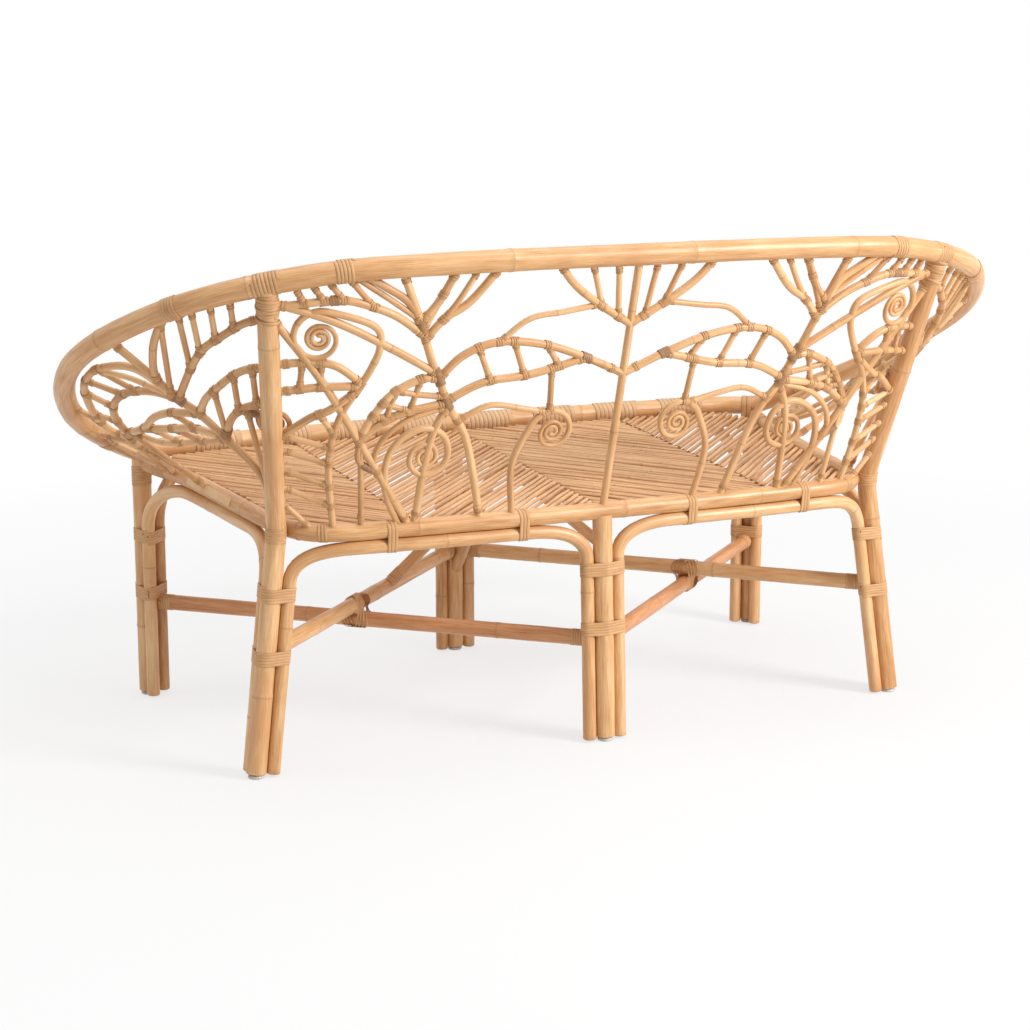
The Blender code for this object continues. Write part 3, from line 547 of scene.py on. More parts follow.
def peel_finish(name, pale, deep, shade_from=0.80):
    """Split rattan peel: fibres along the strip, dull satin, with painted shade darkening its edges where
    they lie in the grooves.
    """
    f = Finish(name)
    run, tint, wide = (f.attribute(key) for key in ("run", "tint", "half_wide"))
    side = f.split(f.attribute("side", vector=True))
    apart, stretch, *grain = FIBRES
    fibres = f.noise(f.join(f.times(side[1], wide), f.times(tint, apart), f.times(run, stretch)), *grain)
    tone = f.noise(f.join(f.times(tint, PEEL_TONE[0]), run, 0.0), *PEEL_TONE[1:])
    level = f.total((fibres, FIBRE_SHARE), (tone, PEEL_TONE_SHARE))
    colour = f.ramp(level, ((PEEL_DEEP_AT, deep), (PEEL_PALE_AT, pale)))
    # Painted shade: darker towards both edges of the strip, as the grooves between turns are shaded.
    edge = f.spread(f.math("ABSOLUTE", side[1]), shade_from, 1.0, 0.0, GROOVE_SHADE_SHARE)
    f.coat(f.mix(edge, colour, GROOVE_SHADE_BROWN), f.spread(fibres, NOISE_LOW, NOISE_HIGH, *PEEL_ROUGH))
    f.bump(fibres, *PEEL_BUMP)
    return f.material


rail_peel = peel_finish("rail_peel", RAIL_PEEL, RAIL_PEEL_DEEP)
front_length = lengths(front_line)[-1]
rail_bands = [wind(front_line, at, at + RAIL_BAND_LONG, alone(HOOP_THICK), RAIL_PEEL_WIDE, WRAP_STEPS)
              for at in np.linspace(RAIL_BARE, front_length - RAIL_BARE - RAIL_BAND_LONG, RAIL_BANDS)]
make_peel("front_rail_peel", rail_bands, rail_peel)


# Seat rail and support ring
# A pole runs round the sides and back of the seat, and a thinner ring is tied under and inside it.
# Peel is laced crosswise round the ring, and a pole's split tail lies along the left rail.

SEAT_RAIL_THICK = 0.028
SEAT_RAIL_SIDES = 24
SEAT_RAIL_JOINTS = (0.24, 0.40)
SEAT_RAIL_STEP = 0.010
SUPPORT_THICK = 0.020
SEAT_FRONT_Z = 0.412
SEAT_BACK_Z = 0.380
RAIL_START = (0.600, -0.294)
RAIL_BACK_Y = 0.244
RAIL_PINS = ((0.563, -0.159), (0.534, 0.061), (0.516, 0.165), (0.470, 0.224), (0.350, 0.238), (0.180, 0.243))
RAIL_PIN_STEPS = 16
LOOP_TRIM = 0.05             # a loop inside the rails leaves out this much at the rails' ends
LOOP_RAIL_POINTS = 41
LOOP_FRONT_POINTS = 21
SUPPORT_SIDES = 20
SUPPORT_POINTS = 150
SUPPORT_DROP = 0.010
SUPPORT_FRONT_IN = 0.0268
SUPPORT_GLOSS = 0.42
LACE_WIDE = 0.0030
LACE_PITCH = 0.036
LACE_CLEAR = 0.004
LACE_STEPS = 14
LACE_SIDES = 6
# Painted shade: the next three colours are the cane's colours darkened for the parts in shade under the seat
# (support ring, bearer and spines).
SHADE_PALE = (0.68, 0.42, 0.20)
SHADE = (0.56, 0.32, 0.14)
SHADE_DEEP = (0.40, 0.20, 0.075)
PEEL = (0.74, 0.425, 0.195)
PEEL_DEEP = (0.50, 0.255, 0.10)
SPLINT_START = 0.155
SPLINT_LONG = 0.165
SPLINT_WIDE = 0.015
SPLINT_UP = 0.35             # how far the splint's face leans up from level
SPLINT_POINTS = 24
SPLINT_SIDES = 10
SPLINT_FLATNESS = 0.22
# Where the splint's painted edge shade begins, as a share of its half width.
SPLINT_SHADE_FROM = 0.90
SPLINT_PALE = (0.84, 0.60, 0.34)


def seat_height(y):
    share = (y - RAIL_START[1]) / (RAIL_BACK_Y - RAIL_START[1])
    return SEAT_FRONT_Z + share * (SEAT_BACK_Z - SEAT_FRONT_Z)


rail_half = [RAIL_START, *RAIL_PINS, (0.0, RAIL_BACK_Y)]
rail_line = bent(rail_half + [(-x, y) for x, y in rail_half[-2::-1]], per=RAIL_PIN_STEPS)
rail_line = np.column_stack([rail_line, [seat_height(y) for y in rail_line[:, 1]]])
rail_mid = lengths(rail_line)[-1] / 2
make_poles("seat_rail_pole", [cane(rail_line, SEAT_RAIL_THICK, SEAT_RAIL_JOINTS, SEAT_RAIL_STEP)],
           SEAT_RAIL_SIDES, honey_cane, "rattan", ["seat_rail"])


def evenly(line, count):
    return along(line, np.linspace(0, lengths(line)[-1], count))


def inward(line, gap):
    """Line moved sideways towards the middle of the seat, in plan."""
    t = np.gradient(line, axis=0)
    side = np.column_stack([-t[:, 1], t[:, 0]])
    side /= np.linalg.norm(side, axis=1)[:, None]
    return line[:, :2] - side * np.sign((side * line[:, :2]).sum(axis=1))[:, None] * gap


def seat_loop(rail_gap, front_gap, count):
    """Loop inside the seat rail and the front rail, in plan."""
    rail = along(rail_line, np.linspace(LOOP_TRIM, 2 * rail_mid - LOOP_TRIM, LOOP_RAIL_POINTS))
    front_trim = joint_at + LOOP_TRIM
    front = along(ring, np.linspace(front_trim, ring_length - front_trim, LOOP_FRONT_POINTS))
    loop = np.vstack([inward(rail, rail_gap), inward(front, front_gap)[::-1]])
    return evenly(bent(loop, per=4, closed=True), count + 1)[:-1]


support_in = np.sqrt((SEAT_RAIL_THICK / 2 + SUPPORT_THICK / 2 + FIT_GAP) ** 2 - SUPPORT_DROP ** 2)
support_plan = seat_loop(support_in, SUPPORT_FRONT_IN, SUPPORT_POINTS)
support_line = np.column_stack([support_plan, [seat_height(y) - SUPPORT_DROP for y in support_plan[:, 1]]])
# A darker copy of the cane, painted as shade, for the parts under the seat.
shaded_cane = cane_finish("shaded_cane", SHADE_PALE, SHADE, SHADE_DEEP, SUPPORT_GLOSS)
make_poles("support_ring_pole",
           [cane(support_line, SUPPORT_THICK, SEAT_RAIL_JOINTS, SEAT_RAIL_STEP, closed=True)],
           SUPPORT_SIDES, shaded_cane, "rattan_deep", ["seat_support"])

splint_line = along(rail_line, np.linspace(SPLINT_START, SPLINT_START + SPLINT_LONG, SPLINT_POINTS))
splint_side = splint_line[:, :2] - inward(splint_line, 1.0)
splint_out = np.column_stack([splint_side, np.full(SPLINT_POINTS, SPLINT_UP)])
splint_out /= np.linalg.norm(splint_out, axis=1)[:, None]
make_peel("rail_splint", [strip(splint_line + splint_out * (SEAT_RAIL_THICK / 2), splint_out, SPLINT_WIDE)],
          peel_finish("splint_peel", SPLINT_PALE, PEEL, SPLINT_SHADE_FROM), SPLINT_SIDES,
          flatness=SPLINT_FLATNESS)

tying_peel = peel_finish("tying_peel", PEEL, PEEL_DEEP)
support_round = np.vstack([support_line, support_line[:1]])
support_length = lengths(support_round)[-1]
laces = [wind(support_round, LACE_CLEAR, support_length - LACE_CLEAR, alone(SUPPORT_THICK), LACE_WIDE,
              LACE_STEPS, pitch=LACE_PITCH, way=way) for way in (1, -1)]
make_peel("support_lacing", laces, tying_peel, LACE_SIDES)


# Legs and posts
# Six straight poles stand on glides. The back corner ones go on up past the seat rail, with a
# slight bend there, to carry the hoop.

LEG_THICK = 0.032
LEG_SIDES = 26
LEG_JOINTS = (0.22, 0.34)
GLIDE_TALL = 0.006
LEG_SEAT = 0.006
BACK_FOOT = (0.582, 0.212)
BACK_MID_SPLAY = 0.018
POST_DIR = (0.83, 0.55)
POST_RAIL = (0.514, 0.179)
POST_BEND = 0.030
POST_BEND_POINTS = 12
POST_HOOP_SHARE = 0.7242
POST_TRIES = 8               # rounds in which the post is set against the rail
NEAR_POST = 0.05
NEAR_POINTS = 200
foot_z = GLIDE_TALL + FIT_GAP
front_mid_y = FRONT_LEG_Y - FRONT_BULGE


def straight(a, b, count=2):
    return np.linspace(np.array(a, float), np.array(b, float), count)


hoop_run = lengths(back_out)
widest = np.argmax(back_out[:, 0]) + 1
post_top = along(back_out, np.interp(POST_HOOP_SHARE * HOOP_HALF, back_out[:widest, 0], hoop_run[:widest]))
post_dir = unit((*POST_DIR, 0))
post_rail_at = nearest(rail_line, (*POST_RAIL, seat_height(POST_RAIL[1])))
post_rail = along(rail_line, post_rail_at)
back_foot = np.array((*BACK_FOOT, foot_z))


def post_shape(out):
    knee = post_rail + post_dir * out
    low = knee + unit(back_foot - knee) * POST_BEND
    high = knee + unit(post_top - knee) * POST_BEND
    t = np.linspace(0, 1, POST_BEND_POINTS)[:, None]
    return knee, np.vstack([back_foot, low * (1 - t) ** 2 + knee * 2 * t * (1 - t) + high * t ** 2, post_top])


post_clear = LEG_THICK / 2 + SEAT_RAIL_THICK / 2
post_out = post_clear
near_rail = along(rail_line, np.linspace(post_rail_at - NEAR_POST, post_rail_at + NEAR_POST, NEAR_POINTS))
for _ in range(POST_TRIES):
    knee, post_line = post_shape(post_out)
    apart = evenly(post_line, NEAR_POINTS)[:, None] - near_rail[None]
    post_out += post_clear + FIT_GAP - np.min(np.linalg.norm(apart, axis=2))

legs = {}
for side, hand in ((1, "left"), (-1, "right")):
    foot = np.array((side * FRONT_HALF, FRONT_LEG_Y, foot_z))
    top = foot + (0, 0, CORNER_Z - LEG_SEAT - foot_z)
    legs["front_" + hand] = dict(foot=foot, top=top, line=straight(foot, top), bundle=[middle_pole])
    line = mirrored(post_line, side)
    legs["back_" + hand] = dict(foot=line[0], top=mirrored(knee, side), line=line, bundle=[middle_pole])
for name, y_top, y_foot, z_top in (("front_middle", front_mid_y, front_mid_y, CORNER_Z - LEG_SEAT),
                                   ("back_middle", RAIL_BACK_Y, RAIL_BACK_Y + BACK_MID_SPLAY,
                                    SEAT_BACK_Z - LEG_SEAT)):
    foot, top = np.array((0, y_foot, foot_z)), np.array((0, y_top, z_top))
    legs[name] = dict(foot=foot, top=top, line=straight(foot, top), bundle=[middle_pole])
make_poles("leg_poles", [cane(leg["line"], LEG_THICK, LEG_JOINTS) for leg in legs.values()], LEG_SIDES,
           honey_cane, "rattan", ["leg_" + name for name in legs])


def on_leg(leg, z):
    share = (z - leg["foot"][2]) / (leg["top"][2] - leg["foot"][2])
    return leg["foot"] + share * (leg["top"] - leg["foot"])


# Glides
# A low plastic button is nailed under each leg's main pole and keeps the cane off the floor.
# It is off-white, softly rounded at the rim and a little scuffed underneath.

GLIDE_THICK = 0.026
GLIDE_WHITE = (0.78, 0.77, 0.74)
GLIDE_SCUFF = (0.50, 0.48, 0.45)
GLIDE_SIDES = 36
GLIDE_ROUGH = (0.62, 0.40)
GLIDE_BUMP = (0.15, 0.0003)  # strength and depth
SCUFFS = (420.0, 4.0)        # scale and detail
SCUFF_AT, CLEAN_AT = 0.42, 0.60
GLIDE_PROFILE = ((0.80, 0.0), (0.93, 0.10), (0.99, 0.30), (1.0, 0.55), (0.96, 0.85), (0.88, 1.0))


def speckled(name, grain, stops, rough):
    """A plain material with a fine speckle in its colour and gloss."""
    f = Finish(name)
    speckle = f.noise(f.nodes.new("ShaderNodeTexCoord").outputs["Object"], *grain)
    f.coat(f.ramp(speckle, stops), f.spread(speckle, NOISE_LOW, NOISE_HIGH, *rough))
    return f, speckle


plastic, scuffs = speckled("glide_plastic", SCUFFS, ((SCUFF_AT, GLIDE_SCUFF), (CLEAN_AT, GLIDE_WHITE)),
                           GLIDE_ROUGH)
plastic.bump(scuffs, *GLIDE_BUMP)
turn = np.linspace(0, 2 * np.pi, GLIDE_SIDES, endpoint=False)
rim = np.column_stack([np.cos(turn), np.sin(turn)]) * GLIDE_THICK / 2
last = len(GLIDE_PROFILE) - 1
faces = []
for row in range(last):
    for k in range(GLIDE_SIDES):
        low, low_next = row * GLIDE_SIDES + k, row * GLIDE_SIDES + (k + 1) % GLIDE_SIDES
        faces.append((low, low_next, low_next + GLIDE_SIDES, low + GLIDE_SIDES))
faces += [tuple(range(GLIDE_SIDES - 1, -1, -1)), tuple(last * GLIDE_SIDES + k for k in range(GLIDE_SIDES))]
for name, leg in legs.items():
    x, y, _ = leg["foot"]
    verts = [(x + r * a, y + r * b, z * GLIDE_TALL) for r, z in GLIDE_PROFILE for a, b in rim]
    mesh = bpy.data.meshes.new("glide_button_" + name)
    mesh.from_pydata(verts, [], faces)
    mesh.materials.append(plastic.material)
    mesh.shade_smooth()
    mesh.set_sharp_from_angle(angle=SHARP_EDGE)
    glide = bpy.data.objects.new("glide_button_" + name, mesh)
    bpy.context.scene.collection.objects.link(glide)
    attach(glide, "root")
    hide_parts("glide_" + name)


# Arched braces
# A thinner pole stands beside each leg, bends over below the rail, runs along under it and comes
# down beside the next leg, so that each leg is a bundle of poles.

ARCH_THICK = 0.022
ARCH_FOOT_Z = 0.004
ARCH_TURN_Z = 0.302
ARCH_RUN = 0.125
ARCH_EASE = 1.15             # how roundly the bend leaves the leg and meets the rail
ARCH_AHEAD = 0.004           # the rail's direction is taken over this much
ARCH_BEND_POINTS = 22
ARCH_UNDER_POINTS = 24
ARCH_SIDES = 20
ARCH_JOINTS = (0.22, 0.36)
ARCH_STEP = 0.010


def arch(start, end, rail, begin, finish, rail_thick):
    drop = np.array((0, 0, -(rail_thick / 2 + ARCH_THICK / 2 + FIT_GAP)))
    way = 1 if finish > begin else -1
    sides = []
    for name, other, at, turn in ((start, end, begin, way), (end, start, finish, -way)):
        leg = legs[name]
        towards = legs[other]["foot"] - leg["foot"]
        offset = unit((towards[0], towards[1], 0)) * (LEG_THICK / 2 + ARCH_THICK / 2 + FIT_GAP)
        leg["bundle"].append(offset)
        low, bend = on_leg(leg, ARCH_FOOT_Z) + offset, on_leg(leg, ARCH_TURN_Z) + offset
        meet = along(rail, at + turn * ARCH_RUN) + drop
        ahead = unit(along(rail, at + turn * (ARCH_RUN + ARCH_AHEAD)) + drop - meet)
        reach = np.linalg.norm(meet - bend) * ARCH_EASE
        t = np.linspace(0, 1, ARCH_BEND_POINTS)[:, None]
        corner = ((2 * t ** 3 - 3 * t ** 2 + 1) * bend + (t ** 3 - 2 * t ** 2 + t) * unit(bend - low) * reach
                  + (3 * t ** 2 - 2 * t ** 3) * meet + (t ** 3 - t ** 2) * ahead * reach)
        sides.append(np.vstack([low, corner]))
    under = np.linspace(begin + way * ARCH_RUN, finish - way * ARCH_RUN, ARCH_UNDER_POINTS)[1:-1]
    return np.vstack([sides[0], along(rail, under) + drop, sides[1][::-1]])


rail_end = 2 * rail_mid
ring_mid = ring_length / 2
arches = {}
for hand, begin in (("left", corner_at), ("right", ring_length - corner_at)):
    arches["front_" + hand] = arch("front_" + hand, "front_middle", ring, begin, ring_mid, HOOP_THICK)
for hand, first, post_at in (("left", 0.0, post_rail_at), ("right", rail_end, rail_end - post_rail_at)):
    arches["end_" + hand] = arch("front_" + hand, "back_" + hand, rail_line, first, post_at, SEAT_RAIL_THICK)
for hand, begin in (("left", post_rail_at), ("right", rail_end - post_rail_at)):
    arches["back_" + hand] = arch("back_" + hand, "back_middle", rail_line, begin, rail_mid, SEAT_RAIL_THICK)
make_poles("arch_poles", [cane(line, ARCH_THICK, ARCH_JOINTS, ARCH_STEP) for line in arches.values()],
           ARCH_SIDES, honey_cane, "rattan", ["arch_" + name for name in arches])


# Stretchers, bearer, struts and brace
# Two crosses of poles tie the legs, one pole laid over the other. The lower one sits in the shade under the
# seat and gets a darker, redder copy of the cane colours as painted shade.
# Struts rise from the upper ones to a bearer under the seat, and a brace from the front middle leg.

STRETCHER_THICK = 0.026
STRETCHER_SIDES = 24
STRETCHER_JOINTS = (0.24, 0.38)
BEARER_THICK = 0.022
BEARER_SIDES = 20
BEARER_JOINTS = (0.2, 0.3)
BEARER_NEAR = 0.09           # the bearer ends on the support ring this near the middle
STRUT_THICK = 0.020
STRUT_SIDES = 20
STRUT_JOINTS = (0.16, 0.26)
STRETCHER_Z = 0.168
STRETCHER_END = 0.0205
STRUT_Y = -0.130
STRUT_END = 0.010
BRACE_FOOT_Z = 0.150
BRACE_TOP_Y = -0.165
# Painted shade: the lower stretchers take the honey cane's colours, darkened and reddened for the shade they
# stand in.
SHADED_RED_PALE = (0.80, 0.43, 0.215)
SHADED_RED = (0.63, 0.285, 0.113)
SHADED_RED_DEEP = (0.43, 0.165, 0.054)
SHADED_RED_GLOSS = 0.38
over_z = STRETCHER_Z + STRETCHER_THICK + FIT_GAP

stretchers = {}
for hand in ("left", "right"):
    for level, start, end, z in (("low_", "front_" + hand, "back_middle", STRETCHER_Z),
                                 ("high_", "back_" + hand, "front_middle", over_z)):
        a, b = on_leg(legs[start], z), on_leg(legs[end], z)
        trim = unit(b - a) * STRETCHER_END
        stretchers[level + hand] = straight(a + trim, b - trim)
stretcher_canes = {name: cane(line, STRETCHER_THICK, STRETCHER_JOINTS) for name, line in stretchers.items()}
# The lower stretchers' painted shade: a darker, redder copy of the honey cane.
shaded_red_cane = cane_finish("shaded_red_cane", SHADED_RED_PALE, SHADED_RED, SHADED_RED_DEEP, SHADED_RED_GLOSS)
for level, finish in (("low", shaded_red_cane), ("high", honey_cane)):
    names = [name for name in stretchers if name.startswith(level)]
    make_poles("stretchers_" + level, [stretcher_canes[name] for name in names], STRETCHER_SIDES, finish,
               "rattan", ["stretcher_" + name for name in names])

near_middle = np.abs(support_line[:, 0]) < BEARER_NEAR
bearer_line = np.array([(0, y, seat_height(y) - BEARER_THICK / 2)
                        for y in (support_line[near_middle, 1].min() + LEG_SEAT,
                                  support_line[near_middle, 1].max() - LEG_SEAT)])
make_poles("bearer_pole", [cane(bearer_line, BEARER_THICK, BEARER_JOINTS)], BEARER_SIDES, shaded_cane,
           "rattan_deep", ["seat_bearer"])
struts = {}
for hand in ("left", "right"):
    line = stretchers["high_" + hand]
    foot = line[0] + (line[1] - line[0]) * (STRUT_Y - line[0][1]) / (line[1][1] - line[0][1])
    top = np.array((0, STRUT_Y, seat_height(STRUT_Y) - BEARER_THICK / 2))
    rise = unit(top - foot) * STRUT_END
    struts["strut_" + hand] = straight(foot + rise, top - rise)
brace_foot = on_leg(legs["front_middle"], BRACE_FOOT_Z)
brace_top = np.array((0, BRACE_TOP_Y, seat_height(BRACE_TOP_Y) - BEARER_THICK / 2))
rise = unit(brace_top - brace_foot) * STRUT_END
make_poles("strut_poles", [cane(line, STRUT_THICK, STRUT_JOINTS) for line in struts.values()], STRUT_SIDES,
           honey_cane, "rattan", list(struts))
brace_line = straight(brace_foot + rise, brace_top - rise)
make_poles("brace_pole", [cane(brace_line, BEARER_THICK, STRUT_JOINTS)], BEARER_SIDES, honey_cane,
           "rattan", ["front_brace"])


# Bindings
# Split peel is wound round each leg bundle at two heights and pinned; more of it sleeves the
# stretcher ends, lashes the crossings and the struts' feet, and ties arches to rails.

BINDING_Z = (0.188, 0.286)
BINDING_TALL = 0.022
BINDING_PEEL = 0.0046
BINDING_STEPS = 40           # points of a strip in one turn
BINDING_PINS = 3
BINDING_CLEAR = 10           # points at a strip's ends that take no pin
SHANK_POINTS = 40
LASH_PEEL = 0.0042
SLEEVE_IN = 0.012            # from a stretcher's end to the peel that sleeves it
SLEEVE_LONG = 0.022
SLEEVE_STEPS = 20
STRUT_LASH = (0.004, 0.026)  # from the strut's foot, and length
STRUT_STEPS = 18
CROSS_TURNS = 4
CROSS_STEPS = 34
CROSS_LAY = 1.04             # from one turn to the next, as a share of the width
CROSS_SIDE, CROSS_OVER = 0.0016, 0.0018    # clearance of the strands beside and over the poles
CROSS_SQUARE = 3             # how square the strands' loop is
ARCH_TIE_AT = (0.165, -0.15)               # from the post, and from the middle of the back
ARCH_TIE_LONG = 0.017
ARCH_TIE_PEEL = 0.0056
ARCH_TIE_STEPS = 30
POST_TIES = ((0.022, 0.006), (0.058, 0.014))    # place along the rail from the post, and length
FRONT_TIE = (0.032, 0.034)                      # from the rail's front end
RAIL_TIE_STEPS = 22
KNEE_WRAP = 0.022            # length, half of it to either side of the post's bend
KNEE_STEPS = 24
PIN_SEAT = 0.45              # a pin's head sits this share of the peel's thickness up
pins = []


def pin_down(turn, wide, clear):
    """Notes a pin somewhere along a wound strip, clear of its ends."""
    at = dice.integers(clear, len(turn["points"]) - clear)
    face = turn["out"][at]
    pins.append((turn["points"][at] + face * wide * PEEL_FLATNESS * PIN_SEAT, face))


bindings, binding_nodes = [], []
for name, leg in legs.items():
    bundle = [(offset, (LEG_THICK if k == 0 else ARCH_THICK) / 2) for k, offset in enumerate(leg["bundle"])]
    shank = straight(leg["foot"], leg["top"], SHANK_POINTS)
    for z, level in zip(BINDING_Z, ("low", "high")):
        middle = (z - leg["foot"][2]) / (leg["top"][2] - leg["foot"][2]) * lengths(shank)[-1]
        bindings.append(wind(shank, middle - BINDING_TALL / 2, middle + BINDING_TALL / 2, bundle,
                             BINDING_PEEL, BINDING_STEPS))
        binding_nodes.append("binding_" + name + "_" + level)
        for _ in range(BINDING_PINS):
            pin_down(bindings[-1], BINDING_PEEL, BINDING_CLEAR)
make_peel("leg_bindings", bindings, tying_peel, stands_for=binding_nodes)

lashings = []


def lash(line, start, long, bundle, steps, wide=LASH_PEEL):
    lashings.append(wind(line, start, start + long, bundle, wide, steps))


for line in stretchers.values():
    for start in (SLEEVE_IN, lengths(line)[-1] - SLEEVE_IN - SLEEVE_LONG):
        lash(line, start, SLEEVE_LONG, alone(STRETCHER_THICK), SLEEVE_STEPS)
for line in struts.values():
    lash(line, *STRUT_LASH, alone(STRUT_THICK), STRUT_STEPS)


def cross_lash(low, high):
    """Strands slung diagonally round two crossing poles, one over the other."""
    d1, d2 = unit(low[1] - low[0]), unit(high[1] - high[0])
    n = np.cross(d1, d2)
    at = np.linalg.solve(np.column_stack([d1, -d2, n]), high[0] - low[0])
    middle = (low[0] + d1 * at[0] + high[0] + d2 * at[1]) / 2
    r = STRETCHER_THICK / 2
    share = np.linspace(0, 1, CROSS_TURNS * CROSS_STEPS + 1)
    a = 2 * np.pi * CROSS_TURNS * share
    slide = ((share - 0.5) * CROSS_TURNS * LASH_PEEL * CROSS_LAY)[:, None]
    tall = 2 * r + CROSS_OVER
    runs = []
    for spread, across in ((unit(d1 + d2), unit(d1 - d2)), (unit(d1 - d2), unit(d1 + d2))):
        reach = r / abs(np.dot(spread, np.array((-d1[1], d1[0], 0)))) + CROSS_SIDE
        wide_part = np.abs(np.cos(a) / reach) ** CROSS_SQUARE
        tall_part = np.abs(np.sin(a) / tall) ** CROSS_SQUARE
        radius = ((wide_part + tall_part) ** (-1 / CROSS_SQUARE))[:, None]
        flat = np.cos(a)[:, None] * spread * radius
        up = np.sin(a)[:, None] * np.array((0, 0, 1.0)) * radius
        slant = np.dot(d1, spread) / np.dot(d1, across) * slide * np.clip(up[:, 2:] / r, -1, 1)
        points = middle + flat + up + across * slide - spread * slant
        out = flat / reach ** 2 + up / tall ** 2
        runs.append(strip(points, out / np.linalg.norm(out, axis=1)[:, None], LASH_PEEL))
    return runs


for hand in ("left", "right"):
    lashings += cross_lash(stretchers["low_" + hand], stretchers["high_" + hand])
arch_under_rail = np.array((0, 0, -(SEAT_RAIL_THICK / 2 + ARCH_THICK / 2 + FIT_GAP)))
rail_and_arch = alone(SEAT_RAIL_THICK) + [(arch_under_rail, ARCH_THICK / 2)]
for at in (post_rail_at + ARCH_TIE_AT[0], rail_mid + ARCH_TIE_AT[1]):
    for start in (at, rail_end - at):
        lash(rail_line, start, ARCH_TIE_LONG, rail_and_arch, ARCH_TIE_STEPS, ARCH_TIE_PEEL)
for at, long in [(post_rail_at + at, long) for at, long in POST_TIES] + [FRONT_TIE]:
    for start in (at, rail_end - at - long):
        lash(rail_line, start, long, alone(SEAT_RAIL_THICK), RAIL_TIE_STEPS)
for side in (1, -1):
    line = mirrored(post_line, side)
    knee_at = nearest(line, mirrored(knee, side))
    lash(line, knee_at - KNEE_WRAP / 2, KNEE_WRAP, alone(LEG_THICK), KNEE_STEPS)
make_peel("frame_lashings", lashings, tying_peel)


# Hoop wraps
# The hoop is wrapped where it is pinned to the post and where the wickerwork pulls on it, and two
# peel straps are laid over each butt joint in front and bound in at the top of the leg.

WRAP_PEEL = 0.0050
OVER_WRAP = 0.0012           # how far a second layer of peel stands off the pole
SLANT_PITCH = 0.018
STRAP_WIDE = 0.0098
STRAP_APART = 0.0100
STRAP_REACH = 0.004          # the hoop's direction at the joint is taken over this much
STRAP_OVER_POINTS = 22
STRAP_STANDS = 0.0008
STRAP_DOWN = (0.004, 0.040, 8)             # from, to and points of its tails down the leg
FRONT_WRAP = (0.100, 0.024)                # place along the hoop from its front end, and length
POST_WRAPS = ((-0.160, 0.024), (-0.019, 0.038), (0.102, 0.026))    # place from the post, and length
WRAP_CLEAR = 8               # points at a strip's ends that take no pin
TOP_WRAP = (0.050, 0.016)    # from and to, below the top of a post or leg
TOP_SLANT = (0.060, 0.010)
hoop_run_left = back_out[::-1]
hoop_mid = lengths(hoop_run_left)[-1]
hoop_corner = hoop_mid - corner_at
hoop_post = nearest(hoop_run_left, post_top)
wraps = []


def wrap(line, start, end, thick, **slant):
    wraps.append(wind(line, start, end, alone(thick), WRAP_PEEL, WRAP_STEPS, **slant))


for side in (1, -1):
    line = mirrored(hoop_run_left, side)
    for at, long in [FRONT_WRAP] + [(hoop_post + at, long) for at, long in POST_WRAPS]:
        wrap(line, at, at + long, HOOP_THICK)
        pin_down(wraps[-1], WRAP_PEEL, WRAP_CLEAR)
    post = mirrored(post_line, side)
    top = lengths(post)[-1]
    wrap(post, top - TOP_WRAP[0], top - TOP_WRAP[1], LEG_THICK)
    wrap(post, top - TOP_SLANT[0], top - TOP_SLANT[1], LEG_THICK + 2 * OVER_WRAP, pitch=SLANT_PITCH, way=-1)
    leg_line = legs["front_left" if side == 1 else "front_right"]["line"]
    top = lengths(leg_line)[-1]
    wrap(leg_line, top - TOP_WRAP[0], top - TOP_WRAP[1], LEG_THICK)
    joint = mirrored(along(ring, joint_at), side)
    axis = mirrored(unit(along(ring, joint_at + STRAP_REACH) - along(ring, joint_at - STRAP_REACH)), side)
    level = unit(np.cross(axis, (0, 0, 1)))
    lift = np.cross(level, axis)
    over_out = [np.cos(a) * level + np.sin(a) * lift for a in np.linspace(0, np.pi, STRAP_OVER_POINTS)]
    over = [joint + (HOOP_THICK / 2 + STRAP_STANDS) * face for face in over_out]
    down = np.linspace(*STRAP_DOWN)
    points = [over[0] - (0, 0, d) for d in down[::-1]] + over + [over[-1] - (0, 0, d) for d in down]
    out = [over_out[0]] * len(down) + over_out + [over_out[-1]] * len(down)
    for shift in (-STRAP_APART / 2, STRAP_APART / 2):
        wraps.append(strip(np.array(points) + axis * shift, out, STRAP_WIDE))
make_peel("hoop_wraps", wraps, tying_peel)


# Seat
# A bed of thin round poles laid side by side in a herringbone, in four fields that meet on spines
# running front to back. They rest on the support ring and on the spines, and their ends show.

SPINE_X = 0.320
SLAT_THICK = 0.0080
INNER_THICK = 0.0068         # in the two middle fields
SLAT_PITCH = 0.017           # along a spine
SLAT_LIFT = 0.0043
SLAT_DRIFT = 0.0010          # a slat lies this far off its line at most
SLAT_UNEVEN = 0.0011         # and this far above or below its neighbours
SLAT_SHORT = 0.009           # its end stops this far short of the rail at most
SLAT_GRADES = (0.86, 1.02)   # thinnest and thickest, as shares
SLAT_ROWS = (-45, 60)        # rows along a spine, counted from the back
SLAT_REACH = 0.62            # its line is drawn out to here, then cut to the seat
SLAT_OFF_SPINE = 0.0012
SLAT_CUT_POINTS = 500
SLAT_LEAST = 0.020           # a shorter one is left out
SLAT_POINTS = 5
SLAT_BEND_STEPS = 4
SLAT_JOINTS = (0.15, 0.30)
SLAT_STEP = 0.05
SLAT_SIDES = 9
SEAT_GLOSS = 0.44
RAIL_CLEAR, FRONT_CLEAR = 0.0025, 0.0030    # between the slats' ends and the rails
EDGE_POINTS = 240
LEG_CLEAR = 0.024            # from a front corner leg's middle
NOT_NOUGHT = 1e-12
SPINE_THICK = 0.011
SPINE_SEARCH = (-0.4, 0.3, 700)
SPINE_UNDER = 0.0006
SPINE_SHORT = 0.016
SPINE_POINTS = 12
